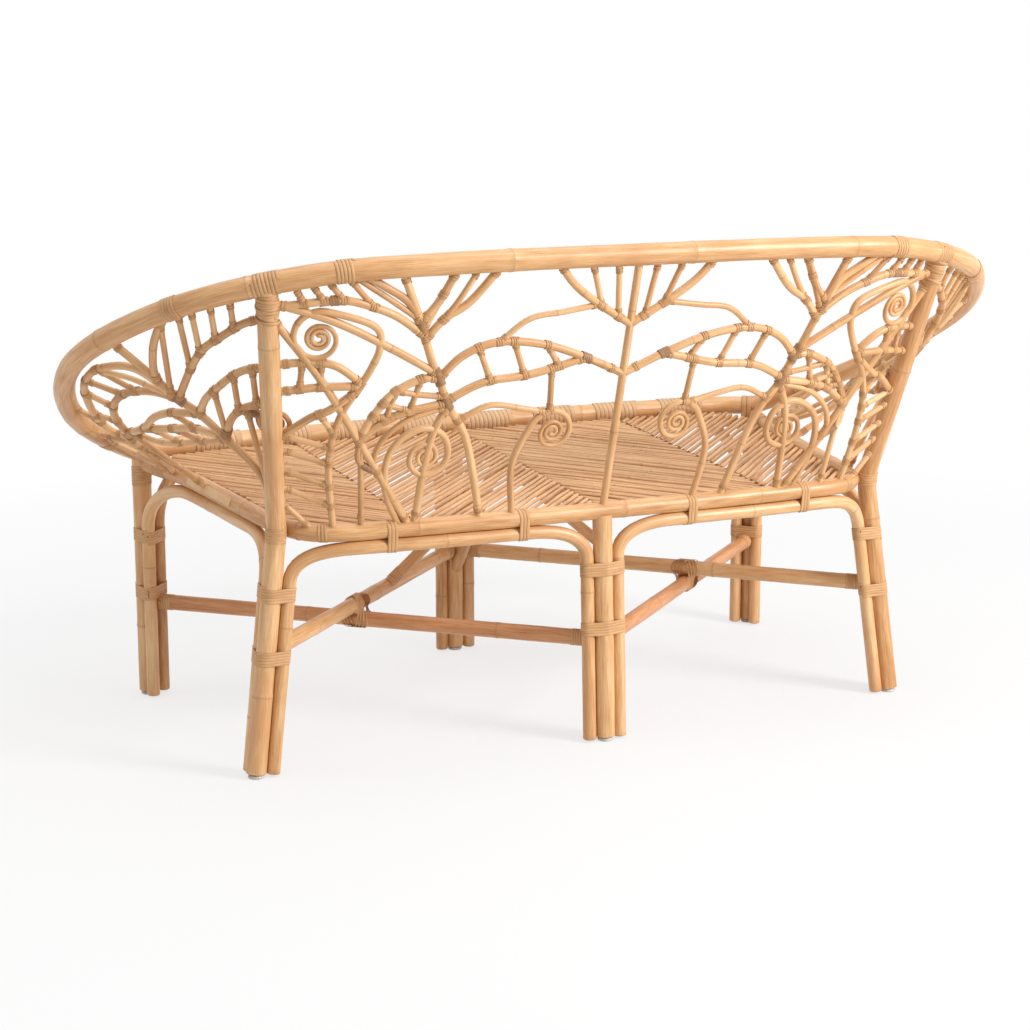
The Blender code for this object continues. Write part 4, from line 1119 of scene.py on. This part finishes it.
SPINE_JOINTS = (0.15, 0.26)
SPINE_STEP = 0.03
SPINE_SIDES = 12
SEAT_PALE = (0.80, 0.49, 0.245)
SEAT_HONEY = (0.67, 0.375, 0.172)
SEAT_DEEP = (0.46, 0.225, 0.085)

seat_cane = cane_finish("seat_cane", SEAT_PALE, SEAT_HONEY, SEAT_DEEP, SEAT_GLOSS)
outline = seat_loop(SEAT_RAIL_THICK / 2 + RAIL_CLEAR, HOOP_THICK / 2 + FRONT_CLEAR, EDGE_POINTS)


def on_seat(points):
    """Which points lie inside the seat's outline, and clear of the front corner legs."""
    x, y = points[:, 0][:, None], points[:, 1][:, None]
    ax, ay = outline[:, 0][None], outline[:, 1][None]
    bx, by = np.roll(outline, -1, axis=0).T[:, None, :]
    crosses = ((ay > y) != (by > y)) & (x < (bx - ax) * (y - ay) / (by - ay + NOT_NOUGHT) + ax)
    inside = crosses.sum(axis=1) % 2 == 1
    from_leg = np.hypot(np.abs(points[:, 0]) - FRONT_HALF, points[:, 1] - FRONT_LEG_Y)
    return inside & (from_leg > LEG_CLEAR)


slats = []
for x_in, x_out, thick in ((SPINE_X, SLAT_REACH, SLAT_THICK), (SPINE_X, 0.0, INNER_THICK)):
    for side in (1, -1):
        for k in range(*SLAT_ROWS):
            y_spine = RAIL_BACK_Y - (k + 0.5) * SLAT_PITCH
            ends = np.array([(x_in + np.sign(x_out - x_in) * SLAT_OFF_SPINE, y_spine),
                             (x_out, y_spine - abs(x_out - x_in))])
            share = np.linspace(0, 1, SLAT_CUT_POINTS)[:, None]
            fine = ends[0] + (ends[1] - ends[0]) * share
            kept = fine[on_seat(fine) & (fine[:, 0] > SLAT_OFF_SPINE)]
            if len(kept) < 2 or np.linalg.norm(kept[-1] - kept[0]) < SLAT_LEAST:
                continue
            way = unit(kept[-1] - kept[0])
            drift = np.array((way[1], -way[0])) * dice.uniform(-SLAT_DRIFT, SLAT_DRIFT)
            short = dice.uniform(0, SLAT_SHORT) if kept[-1][0] > SLAT_SHORT else 0.0
            plan = np.linspace(kept[0], kept[-1] - way * short, SLAT_POINTS) + drift
            lift = SLAT_LIFT + dice.uniform(-SLAT_UNEVEN, SLAT_UNEVEN)
            bow = dice.uniform(-1, 1, 2) * SLAT_UNEVEN
            t = np.linspace(0, np.pi, SLAT_POINTS)
            waves = lift + bow[0] * np.sin(t) + bow[1] * np.sin(2 * t)
            line = [(side * x, y, seat_height(y) + wave) for (x, y), wave in zip(plan, waves)]
            slats.append(cane(bent(line, per=SLAT_BEND_STEPS), thick * dice.uniform(*SLAT_GRADES),
                              SLAT_JOINTS, SLAT_STEP))
make_poles("seat_slats", slats, SLAT_SIDES, seat_cane, "rattan", ["seat"])

spines = []
for x in (SPINE_X, -SPINE_X):
    ys = [y for y in np.linspace(*SPINE_SEARCH) if on_seat(np.array([(x, y)]))[0]]
    ys = np.linspace(ys[0] + SPINE_SHORT, ys[-1] - SPINE_SHORT, SPINE_POINTS)
    line = np.array([(x, y, seat_height(y) - SPINE_THICK / 2 - SPINE_UNDER) for y in ys])
    spines.append(cane(line, SPINE_THICK, SPINE_JOINTS, SPINE_STEP))
make_poles("seat_spines", spines, SPINE_SIDES, shaded_cane, "rattan_deep")


# Wickerwork
# Thin poles bent into stems, leaves and scrolls fill the space between the seat rail and the hoop.
# Each joint is tied with narrow peel, which makes the small knots along the leaves.

STEM_THICK = 0.0126
RUNG_THICK = 0.0094
SCROLL_THICK = 0.0112
CORE_SHARE = 0.46            # radius of a scroll's tight core, as a share of its outer turn
CORE_THICK = 0.0072          # the pole is pared down to this in the core
CORE_EYE = 0.55              # radius at its inner end, as a share of that thickness
CORE_LAY = 1.04              # from one turn to the next, likewise
CURL_LEAD = 3                # point of the scroll that its stem heads for
SCROLL_JOINTS = (0.14, 0.28)
SCROLL_STEP = 0.0045
STEM_JOINTS = (0.12, 0.24)
RUNG_JOINTS = (0.10, 0.2)
WICKER_STEP = 0.008
RUNG_FLARE, FINE_FLARE = 0.22, 0.15
STEM_BEND_STEPS, FINE_BEND_STEPS = 10, 8
RUNG_POINTS = 6
MIDDLE_LAID, SCROLL_LAID, STEM_LAID, FINE_LAID = 200, 260, 160, 80    # points tried for a meeting
POST_LAID = 600
SLOPE = 0.01                 # the panel's directions are taken over this much of u and v
TIE_PEEL = 0.0038
TIE_STEPS = 11
TIE_END = 0.004              # a tie keeps this far from a pole's end
TIE_BARE = 0.010             # and a pole with less than this to spare gets none
KNOT_IN, RIM_KNOT_IN = 0.009, 0.007    # from another pole's middle, and from the hoop's side
KNOT_LONG, HOST_KNOT_LONG = 0.0078, 0.0116
KNOT_OVER, HOST_KNOT_OVER, BAND_OVER = 1.08, 1.06, 1.16    # girth under the peel, as a share
# Where the knots' and bands' painted edge shade begins, as a share of a strip's half width.
KNOT_SHADE_FROM, BAND_SHADE_FROM = 0.70, 0.66
WICKER_GLOSS = 0.42
WICKER_SIDES, KNOT_SIDES = 11, 6
POST_REACH = 0.015
CLEAR_OF_POST = 0.009        # a scroll by the post is set this far in towards the seat
AT_POST = 1 - POST_REACH
PAST_POST = 1 + POST_REACH
SCROLL_POINTS = 34
WICKER_PALE = (0.84, 0.545, 0.275)
WICKER_HONEY = (0.69, 0.385, 0.165)
WICKER_DEEP = (0.42, 0.195, 0.066)
KNOT_PEEL = (0.71, 0.40, 0.175)
KNOT_DEEP = (0.46, 0.225, 0.082)
BAND_PEEL = (0.50, 0.275, 0.125)
BAND_DEEP = (0.25, 0.115, 0.048)

SIDE_STEMS = (
    ((0.68, 1.0), (0.71, 0.80), (0.745, 0.62), (0.78, 0.53), (0.83, 0.39), (0.92, 0.22), (0.94, 0.0)),
    ((0.745, 0.62), (0.69, 0.82), (0.61, 0.90), (0.54, 0.905), (0.48, 0.87), (0.39, 0.78), (0.35, 0.66),
     (0.40, 0.56), (0.46, 0.50)),
    ((0.745, 0.62), (0.69, 0.69), (0.62, 0.735), (0.55, 0.73), (0.48, 0.68), (0.44, 0.60), (0.46, 0.50)),
    ((0.72, 0.73), (0.735, 0.80), (0.77, 0.90), (0.82, 1.0)),
    ((0.75, 0.62), (0.82, 0.74), (0.86, 0.80), (0.90, 0.83), (0.95, 0.865), (AT_POST, 0.88)),
    ((0.78, 0.53), (0.70, 0.565), (0.63, 0.57), (0.55, 0.54), (0.46, 0.50)),
    ((0.83, 0.40), (0.74, 0.46), (0.62, 0.50), (0.55, 0.53)),
    ((0.78, 0.53), (0.82, 0.59), (0.86, 0.625), (0.90, 0.66), (0.94, 0.68), (AT_POST, 0.685)),
    ((0.83, 0.40), (0.87, 0.48), (0.91, 0.52), (0.95, 0.53), (AT_POST, 0.56)),
)
SIDE_RUNGS = (
    ((0.54, 0.905), (0.60, 0.74)), ((0.60, 0.90), (0.645, 0.73)), ((0.49, 0.87), (0.525, 0.72)),
    ((0.40, 0.79), (0.465, 0.66)), ((0.46, 0.50), (0.445, 0.10)), ((0.185, 0.78), (0.19, 0.0)),
    ((0.84, 1.0), (0.81, 0.745)), ((0.865, 1.0), (0.85, 0.795)), ((0.90, 1.0), (0.89, 0.83)),
    ((0.935, 1.0), (0.93, 0.86)), ((0.80, 0.95), (0.745, 0.66)), ((0.70, 0.565), (0.74, 0.46)),
    ((0.85, 0.615), (0.83, 0.42)), ((0.91, 0.66), (0.90, 0.51)), ((0.955, 0.68), (0.95, 0.53)),
)
SIDE_SCROLLS = (
    (((0.44, 0.0), (0.455, 0.22), (0.39, 0.46), (0.28, 0.66), (0.175, 0.78), (0.11, 0.62), (0.115, 0.38)),
     (0.225, 0.34, 0.031, 215, 1)),
    (((0.905, 0.52), (0.92, 0.505)), (0.99, 0.44, 0.029, 150, 1)),
)
BACK_STEMS = (
    ((1.34, 1.0), (1.39, 0.81), (1.43, 0.64), (1.45, 0.58), (1.48, 0.47), (1.54, 0.33), (1.60, 0.0)),
    ((PAST_POST, 0.93), (1.16, 0.825), (1.30, 0.715), (1.45, 0.60)),
    ((PAST_POST, 0.89), (1.13, 0.60), (1.25, 0.30), (1.38, 0.0)),
    ((PAST_POST, 0.905), (1.13, 0.90), (1.19, 0.895), (1.25, 0.87), (1.33, 0.82), (1.41, 0.745)),
    ((PAST_POST, 0.685), (1.09, 0.68), (1.16, 0.66), (1.21, 0.61), (1.24, 0.57)),
    ((PAST_POST, 0.58), (1.12, 0.58), (1.18, 0.575), (1.235, 0.565)),
    ((1.22, 1.0), (1.30, 0.93), (1.36, 0.87), (1.405, 0.79)),
    ((1.39, 0.79), (1.44, 0.86), (1.50, 1.0)),
    ((1.41, 0.73), (1.46, 0.80), (1.53, 0.86), (1.62, 1.0)),
    ((1.45, 0.58), (1.40, 0.58), (1.33, 0.54), (1.29, 0.49), (1.25, 0.42), (1.235, 0.36)),
    ((1.475, 0.48), (1.37, 0.46), (1.30, 0.43), (1.235, 0.36)),
    ((1.48, 0.47), (1.43, 0.33), (1.39, 0.0)),
    ((PAST_POST, 0.38), (1.09, 0.46), (1.15, 0.49), (1.22, 0.55)),
    ((1.45, 0.58), (1.52, 0.66), (1.62, 0.70), (1.75, 0.68), (1.88, 0.62), (2.0, 0.55)),
    ((1.475, 0.49), (1.58, 0.55), (1.72, 0.57), (1.88, 0.62)),
    ((2.0, 0.74), (1.90, 0.82), (1.82, 0.90), (1.76, 1.0)),
)
MIDDLE_STEM = ((2.0, 1.0), (2.0, 0.74), (2.0, 0.45), (2.0, 0.0))
BACK_RUNGS = (
    ((1.06, 1.0), (1.09, 0.90)), ((1.10, 1.0), (1.14, 0.895)), ((1.14, 1.0), (1.19, 0.89)),
    ((1.19, 1.0), (1.27, 0.86)), ((1.08, 0.68), (1.07, 0.58)), ((1.13, 0.67), (1.125, 0.58)),
    ((1.40, 0.58), (1.37, 0.46)), ((1.33, 0.54), (1.30, 0.43)), ((1.235, 0.36), (1.23, 0.0)),
    ((1.12, 0.475), (1.145, 0.40)), ((1.56, 0.68), (1.60, 0.55)), ((1.66, 0.70), (1.70, 0.57)),
    ((1.76, 0.68), (1.80, 0.59)), ((1.78, 0.58), (1.785, 0.44)), ((1.86, 1.0), (1.905, 0.81)),
    ((1.94, 1.0), (1.96, 0.77)),
)
BACK_SCROLLS = (
    (((1.15, 0.0), (1.14, 0.21), (1.15, 0.36), (1.18, 0.47), (1.22, 0.55), (1.26, 0.63), (1.285, 0.71),
      (1.27, 0.79)), (1.125, 0.765, 0.044, 70, 1)),
    (((1.35, 0.0), (1.31, 0.12), (1.30, 0.22), (1.318, 0.31), (1.365, 0.37), (1.42, 0.39), (1.468, 0.36)),
     (1.42, 0.28, 0.037, 15, -1)),
    (((1.70, 0.0), (1.685, 0.22)), (1.80, 0.34, 0.040, 165, -1)),
)

# Finer ribs and second edges of the leaves, poles that brace them, and the broad bands of peel
SIDE_FINE = (
    ((0.36, 1.0), (0.36, 0.91), (0.36, 0.79)),
    ((0.22, 1.0), (0.21, 0.84), (0.27, 0.56)),
    ((0.60, 0.87), (0.66, 0.79), (0.70, 0.70), (0.745, 0.62)),
    ((0.47, 0.49), (0.56, 0.425), (0.68, 0.395), (0.83, 0.385)),
    ((0.66, 0.50), (0.735, 0.40)),
    ((0.58, 0.515), (0.64, 0.405)),
    ((0.37, 0.60), (0.35, 0.43), (0.27, 0.22), (0.20, 0.0)),
    ((0.47, 0.40), (0.38, 0.27), (0.24, 0.06)),
    ((0.92, 0.50), (0.93, 0.30), (0.955, 0.0)),
)
SIDE_BANDS = ((0.905, 0.52, 0.026), (0.745, 0.62, 0.022), (0.83, 0.40, 0.020), (0.46, 0.50, 0.018))
BACK_FINE = (
    ((PAST_POST, 0.42), (1.14, 0.34)),
    ((PAST_POST, 0.36), (1.14, 0.28)),
    ((PAST_POST, 0.28), (1.14, 0.19)),
    ((PAST_POST, 0.21), (1.145, 0.11)),
    ((PAST_POST, 0.16), (1.10, 0.0)),
    ((1.23, 0.36), (1.225, 0.28), (1.235, 0.20)),
    ((1.47, 0.47), (1.38, 0.435), (1.32, 0.39), (1.28, 0.33), (1.24, 0.20)),
    ((1.47, 0.51), (1.40, 0.52), (1.34, 0.52)),
    ((1.30, 0.49), (1.37, 0.465)),
    ((1.265, 0.45), (1.315, 0.435)),
    ((1.20, 1.0), (1.25, 0.945), (1.31, 0.885), (1.395, 0.80)),
    ((1.415, 0.765), (1.455, 0.89)),
    ((1.46, 0.795), (1.50, 0.87), (1.56, 1.0)),
    ((1.62, 0.70), (1.70, 0.78), (1.80, 0.80), (1.90, 0.82)),
    ((1.50, 0.40), (1.60, 0.46), (1.70, 0.44), (1.78, 0.40)),
)
BACK_BANDS = ((1.235, 0.22, 0.022), (1.45, 0.585, 0.030), (1.40, 0.78, 0.024), (1.475, 0.485, 0.024),
              (1.17, 0.895, 0.014), (1.88, 0.62, 0.018))

wicker_cane = cane_finish("wicker_cane", WICKER_PALE, WICKER_HONEY, WICKER_DEEP, WICKER_GLOSS)
knot_peel = peel_finish("knot_peel", KNOT_PEEL, KNOT_DEEP, KNOT_SHADE_FROM)
band_peel = peel_finish("band_peel", BAND_PEEL, BAND_DEEP, BAND_SHADE_FROM)


def place(u, v):
    """A point between the seat rail (v 0) and the hoop (v 1): u 0 front corner, 1 post, 2 middle."""
    if u > 2:
        return mirrored(place(4 - u, v), -1)
    if u < 1:
        below = along(rail_line, u * post_rail_at)
        above = along(hoop_run_left, hoop_corner + u * (hoop_post - hoop_corner))
    else:
        below = along(rail_line, post_rail_at + (u - 1) * (rail_mid - post_rail_at))
        above = along(hoop_run_left, hoop_post + (u - 1) * (hoop_mid - hoop_post))
    return below + (above - below) * v


def scroll(u, v, outer, start, way):
    """One open turn that narrows to a core wound tight, turn against turn."""
    centre = place(u, v)
    core, eye = CORE_SHARE * outer, CORE_THICK * CORE_EYE
    turns_in_core = (core - eye) / (CORE_THICK * CORE_LAY)
    e1 = unit(place(u + SLOPE, v) - place(u - SLOPE, v))
    e2 = place(u, v + SLOPE) - place(u, v - SLOPE)
    e2 = unit(e2 - e1 * np.dot(e1, e2))
    if abs(u - 1) < POST_REACH:
        centre = centre + np.cross(e1, e2) * np.sign(np.dot(np.cross(e1, e2), -centre)) * CLEAR_OF_POST
    wound = np.arange(0, turns_in_core + 1, 1 / SCROLL_POINTS)[:, None]
    r = np.where(wound < 1, outer + (core - outer) * wound, core + (eye - core) * (wound - 1) / turns_in_core)
    a = np.radians(start) + way * 2 * np.pi * wound
    return centre + r * (np.cos(a) * e1 + np.sin(a) * e2)


def weave(name, stems, rungs, scrolls, fine, bands, hands, middle):
    poles, ties, broad, laid = [], [], [], []

    def tie_round(line, at, thick, long, kept):
        total = lengths(line)[-1]
        at = min(max(at, TIE_END + long / 2), total - TIE_END - long / 2)
        if total > long + TIE_BARE:
            kept.append(wind(line, at - long / 2, at + long / 2, alone(thick), TIE_PEEL, TIE_STEPS))

    def meet(p, point):
        """A pole's end, moved into the post or onto the nearest pole laid, which gets a knot there."""
        u, v = point
        if u in (AT_POST, PAST_POST):
            post = evenly(mirrored(post_line, side), POST_LAID)
            return post[np.argmin(np.linalg.norm(post - p, axis=1))], None
        if not laid or v in (0.0, 1.0) or u == 2.0:
            return p, None
        host, thick = min(laid, key=lambda pole: np.min(np.linalg.norm(pole[0] - p, axis=1)))
        k = np.argmin(np.linalg.norm(host - p, axis=1))
        return host[k], (host, lengths(host)[k], thick)

    def finish_ends(line, thick, hosts):
        total = lengths(line)[-1]
        for at, host in zip((0.0, total), hosts):
            near = KNOT_IN if host else HOOP_THICK / 2 + RIM_KNOT_IN
            tie_round(line, near if at == 0.0 else total - near, thick * KNOT_OVER, KNOT_LONG, ties)
            if host:
                tie_round(host[0], host[1], host[2] * HOST_KNOT_OVER, HOST_KNOT_LONG, ties)

    def lay(points, thick, joints, per, count, flare=0.0):
        p = [mirrored(place(*q), side) for q in points]
        p[0], host_a = meet(p[0], points[0])
        p[-1], host_b = meet(p[-1], points[-1])
        line = bent(p, per=per)
        laid.append((evenly(line, count), thick))
        poles.append(cane(line, thick, joints, WICKER_STEP, flare=flare))
        finish_ends(line, thick, (host_a, host_b))

    for side in hands:
        laid.clear()
        if middle:
            laid.append((evenly(np.array([place(*p) for p in middle]), MIDDLE_LAID), STEM_THICK))
        for points, shape in scrolls:
            curl = mirrored(scroll(*shape), side)
            lead = [mirrored(place(*q), side) for q in points] + [curl[0], curl[CURL_LEAD]]
            stem = bent(lead, per=STEM_BEND_STEPS)[:-STEM_BEND_STEPS]
            line = np.vstack([stem[:-1], curl])
            open_turn = lengths(curl)[SCROLL_POINTS]
            laid.append((evenly(line[:len(stem) + SCROLL_POINTS], SCROLL_LAID), SCROLL_THICK))
            poles.append(cane(line, SCROLL_THICK, SCROLL_JOINTS, SCROLL_STEP,
                              pared=(lengths(stem)[-1], open_turn, CORE_THICK / SCROLL_THICK)))
        for points in stems:
            lay(points, STEM_THICK, STEM_JOINTS, STEM_BEND_STEPS, STEM_LAID)
        for a, b in rungs:
            (p, host_a), (q, host_b) = (meet(mirrored(place(*e), side), e) for e in (a, b))
            line = straight(p, q, RUNG_POINTS)
            poles.append(cane(line, RUNG_THICK, RUNG_JOINTS, WICKER_STEP, flare=RUNG_FLARE))
            finish_ends(line, RUNG_THICK, (host_a, host_b))
        for points in fine:
            lay(points, RUNG_THICK, RUNG_JOINTS, FINE_BEND_STEPS, FINE_LAID, FINE_FLARE)
        for u, v, long in bands:
            host, at, thick = meet(mirrored(place(u, v), side), (u, v))[1]
            tie_round(host, at, thick * BAND_OVER, long, broad)
    if middle:
        poles.append(cane(bent([place(*p) for p in middle]), STEM_THICK, STEM_JOINTS, WICKER_STEP))
    make_poles(name + "_poles", poles, WICKER_SIDES, wicker_cane, "rattan", [name])
    make_peel(name + "_knots", ties, knot_peel, KNOT_SIDES)
    make_peel(name + "_bands", broad, band_peel, KNOT_SIDES)


weave("wicker_left", SIDE_STEMS, SIDE_RUNGS, SIDE_SCROLLS, SIDE_FINE, SIDE_BANDS, (1,), None)
weave("wicker_right", SIDE_STEMS, SIDE_RUNGS, SIDE_SCROLLS, SIDE_FINE, SIDE_BANDS, (-1,), None)
weave("wicker_back", BACK_STEMS, BACK_RUNGS, BACK_SCROLLS, BACK_FINE, BACK_BANDS, (1, -1), MIDDLE_STEM)


# Pins
# Small steel pins are driven through the wound peel into the cane and hold its turns.
# Only their low domed heads show, darkened and worn a little paler in places.

PIN_THICK = 0.0026
PIN_DOME = 0.45              # height of a head as a share of its radius
PIN_SEGMENTS, PIN_RINGS = 10, 6
PIN_BROWN = (0.045, 0.028, 0.018)
PIN_WEAR = (0.13, 0.085, 0.055)
PIN_GRAIN = (900.0, 3.0)     # scale and detail
BROWN_AT, WORN_AT = 0.40, 0.66
PIN_ROUGH = (0.34, 0.58)
PIN_METAL = 0.6

steel, _ = speckled("pin_steel", PIN_GRAIN, ((BROWN_AT, PIN_BROWN), (WORN_AT, PIN_WEAR)), PIN_ROUGH)
steel.shader.inputs["Metallic"].default_value = PIN_METAL
pin_tree, pin_in, pin_out = named_tree(
    "pin_heads", (("Thick", "NodeSocketFloat"), ("Finish", "NodeSocketMaterial")))
pin_head = pin_tree.nodes.new("GeometryNodeMeshUVSphere")
pin_head.inputs["Segments"].default_value = PIN_SEGMENTS
pin_head.inputs["Rings"].default_value = PIN_RINGS
pin_size = pin_tree.nodes.new("ShaderNodeMath")
pin_size.operation = "DIVIDE"
pin_size.inputs[1].default_value = 2.0
pin_set = pin_tree.nodes.new("GeometryNodeInstanceOnPoints")
pin_set.inputs["Scale"].default_value = (1.0, 1.0, PIN_DOME)
pin_turn = pin_tree.nodes.new("FunctionNodeAlignRotationToVector")
pin_turn.axis = "Z"
wire(pin_tree,
     (pin_in.outputs["Thick"], pin_size.inputs[0]),
     (pin_size.outputs["Value"], pin_head.inputs["Radius"]),
     (read_attribute(pin_tree, "out", "FLOAT_VECTOR"), pin_turn.inputs["Vector"]),
     (pin_in.outputs["Runs"], pin_set.inputs["Points"]),
     (pin_head.outputs["Mesh"], pin_set.inputs["Instance"]),
     (pin_turn.outputs["Rotation"], pin_set.inputs["Rotation"]))
close_tree(pin_tree, pin_set.outputs["Instances"], pin_in.outputs["Finish"], pin_out)
heads = {tuple(p): n for p, n in pins}
pin_runs = [dict(points=np.array([p]), out=np.array([n])) for p, n in heads.items()]
pin_mesh = run_mesh("pin_heads", pin_runs, (), ("out",))
make_piece("pin_heads", pin_mesh, pin_tree, "peel", (), Thick=PIN_THICK, Finish=steel.material)


# Floor, light and camera
# A pale paper floor that fades into a white studio. A soft key lamp stands high at the picture's
# right, a broad one hangs overhead and a weak fill stands at the left. The camera is behind the
# sofa, on the sitter's left.

FLOOR_HALF = 60
FLOOR_PALE = (0.80, 0.79, 0.785)
FLOOR_GREY = (0.75, 0.74, 0.73)
FLOOR_GRAIN = (30.0, 3.0)    # scale and detail
FLOOR_MOTTLE = (0.0, 0.05)   # least and greatest share of the grey
FLOOR_ROUGH = (0.85, 0.95)
FLOOR_SHOWN = 0.72           # share of plain white in the floor that is seen, near the sofa
FADE_NEAR, FADE_FAR = 0.9, 2.4
SKY_LIGHT, SKY_SEEN = 0.30, 1.0
LAMPS = (                    # name, place, aim, size and power
    ("key", (-2.4, 3.0, 2.3), (0, 0, 0.4), 1.4, 165),
    ("overhead", (0.0, 0.0, 4.2), (0, 0, 0.0), 4.0, 95),
    ("fill", (3.2, -0.4, 2.0), (0, 0, 0.4), 2.4, 18),
)
CAMERA_AT = (1.631, 3.469, 1.127)
CAMERA_TURN = -114.6
CAMERA_TILT = -11.8
CAMERA_LENS = 80.0
CAMERA_SENSOR = 36.0


def seen_directly(tree):
    """One for rays from the camera, a glossy or a clear surface; nought for scattered light."""
    rays = tree.nodes.new("ShaderNodeLightPath").outputs
    seen = rays["Is Camera Ray"]
    for kind in ("Is Glossy Ray", "Is Transmission Ray"):
        either = tree.nodes.new("ShaderNodeMath")
        either.operation = "MAXIMUM"
        wire(tree, (seen, either.inputs[0]), (rays[kind], either.inputs[1]))
        seen = either.outputs["Value"]
    return seen


floor_mesh = bpy.data.meshes.new("floor")
corners = [(x * FLOOR_HALF, y * FLOOR_HALF, 0) for x, y in ((-1, -1), (1, -1), (1, 1), (-1, 1))]
floor_mesh.from_pydata(corners, [], [(0, 1, 2, 3)])
floor = bpy.data.objects.new("floor", floor_mesh)
bpy.context.scene.collection.objects.link(floor)
paper = Finish("floor_paper")
paper_tree = paper.material.node_tree
spot = paper.nodes.new("ShaderNodeTexCoord").outputs["Object"]
grain = paper.noise(spot, *FLOOR_GRAIN)
mottle = paper.spread(grain, NOISE_LOW, NOISE_HIGH, *FLOOR_MOTTLE)
paper.coat(paper.mix(mottle, FLOOR_PALE, FLOOR_GREY),
           paper.spread(grain, NOISE_LOW, NOISE_HIGH, *FLOOR_ROUGH))
reach = paper.nodes.new("ShaderNodeVectorMath")
reach.operation = "LENGTH"
far = paper.spread(reach.outputs["Value"], FADE_NEAR, FADE_FAR, FLOOR_SHOWN, 1.0)
white = paper.nodes.new("ShaderNodeEmission")
fade = paper.nodes.new("ShaderNodeMixShader")
wire(paper_tree,
     (spot, reach.inputs[0]),
     (paper.times(far, seen_directly(paper_tree)), fade.inputs[0]),
     (paper.shader.outputs["BSDF"], fade.inputs[1]),
     (white.outputs["Emission"], fade.inputs[2]),
     (fade.outputs["Shader"], paper.nodes["Material Output"].inputs["Surface"]))
floor_mesh.materials.append(paper.material)

world = bpy.data.worlds.new("studio")
bpy.context.scene.world = world
world.use_nodes = True
sky = world.node_tree
soft = sky.nodes["Background"]
backdrop = sky.nodes.new("ShaderNodeBackground")
for shade, strength in ((soft, SKY_LIGHT), (backdrop, SKY_SEEN)):
    shade.inputs["Color"].default_value = (1, 1, 1, 1)
    shade.inputs["Strength"].default_value = strength
blend = sky.nodes.new("ShaderNodeMixShader")
wire(sky,
     (seen_directly(sky), blend.inputs[0]),
     (soft.outputs["Background"], blend.inputs[1]),
     (backdrop.outputs["Background"], blend.inputs[2]),
     (blend.outputs["Shader"], sky.nodes["World Output"].inputs["Surface"]))


def stand(obj, at, way):
    """Puts a lamp or the camera in the scene, facing the given way."""
    bpy.context.scene.collection.objects.link(obj)
    obj.location = at
    obj.rotation_mode = "QUATERNION"
    obj.rotation_quaternion = Vector(way).to_track_quat("-Z", "Y")


for name, at, aim, size, power in LAMPS:
    lamp = bpy.data.lights.new(name, "AREA")
    lamp.shape = "SQUARE"
    lamp.size = size
    lamp.energy = power
    stand(bpy.data.objects.new(name, lamp), at, unit(np.array(aim, float) - np.array(at, float)))

camera = bpy.data.objects.new("camera", bpy.data.cameras.new("camera"))
turn, tilt = np.radians(CAMERA_TURN), np.radians(CAMERA_TILT)
stand(camera, CAMERA_AT, (np.cos(turn) * np.cos(tilt), np.sin(turn) * np.cos(tilt), np.sin(tilt)))
camera.data.lens = CAMERA_LENS
camera.data.sensor_width = CAMERA_SENSOR
bpy.context.scene.camera = camera
bpy.context.scene.view_settings.view_transform = "Standard"
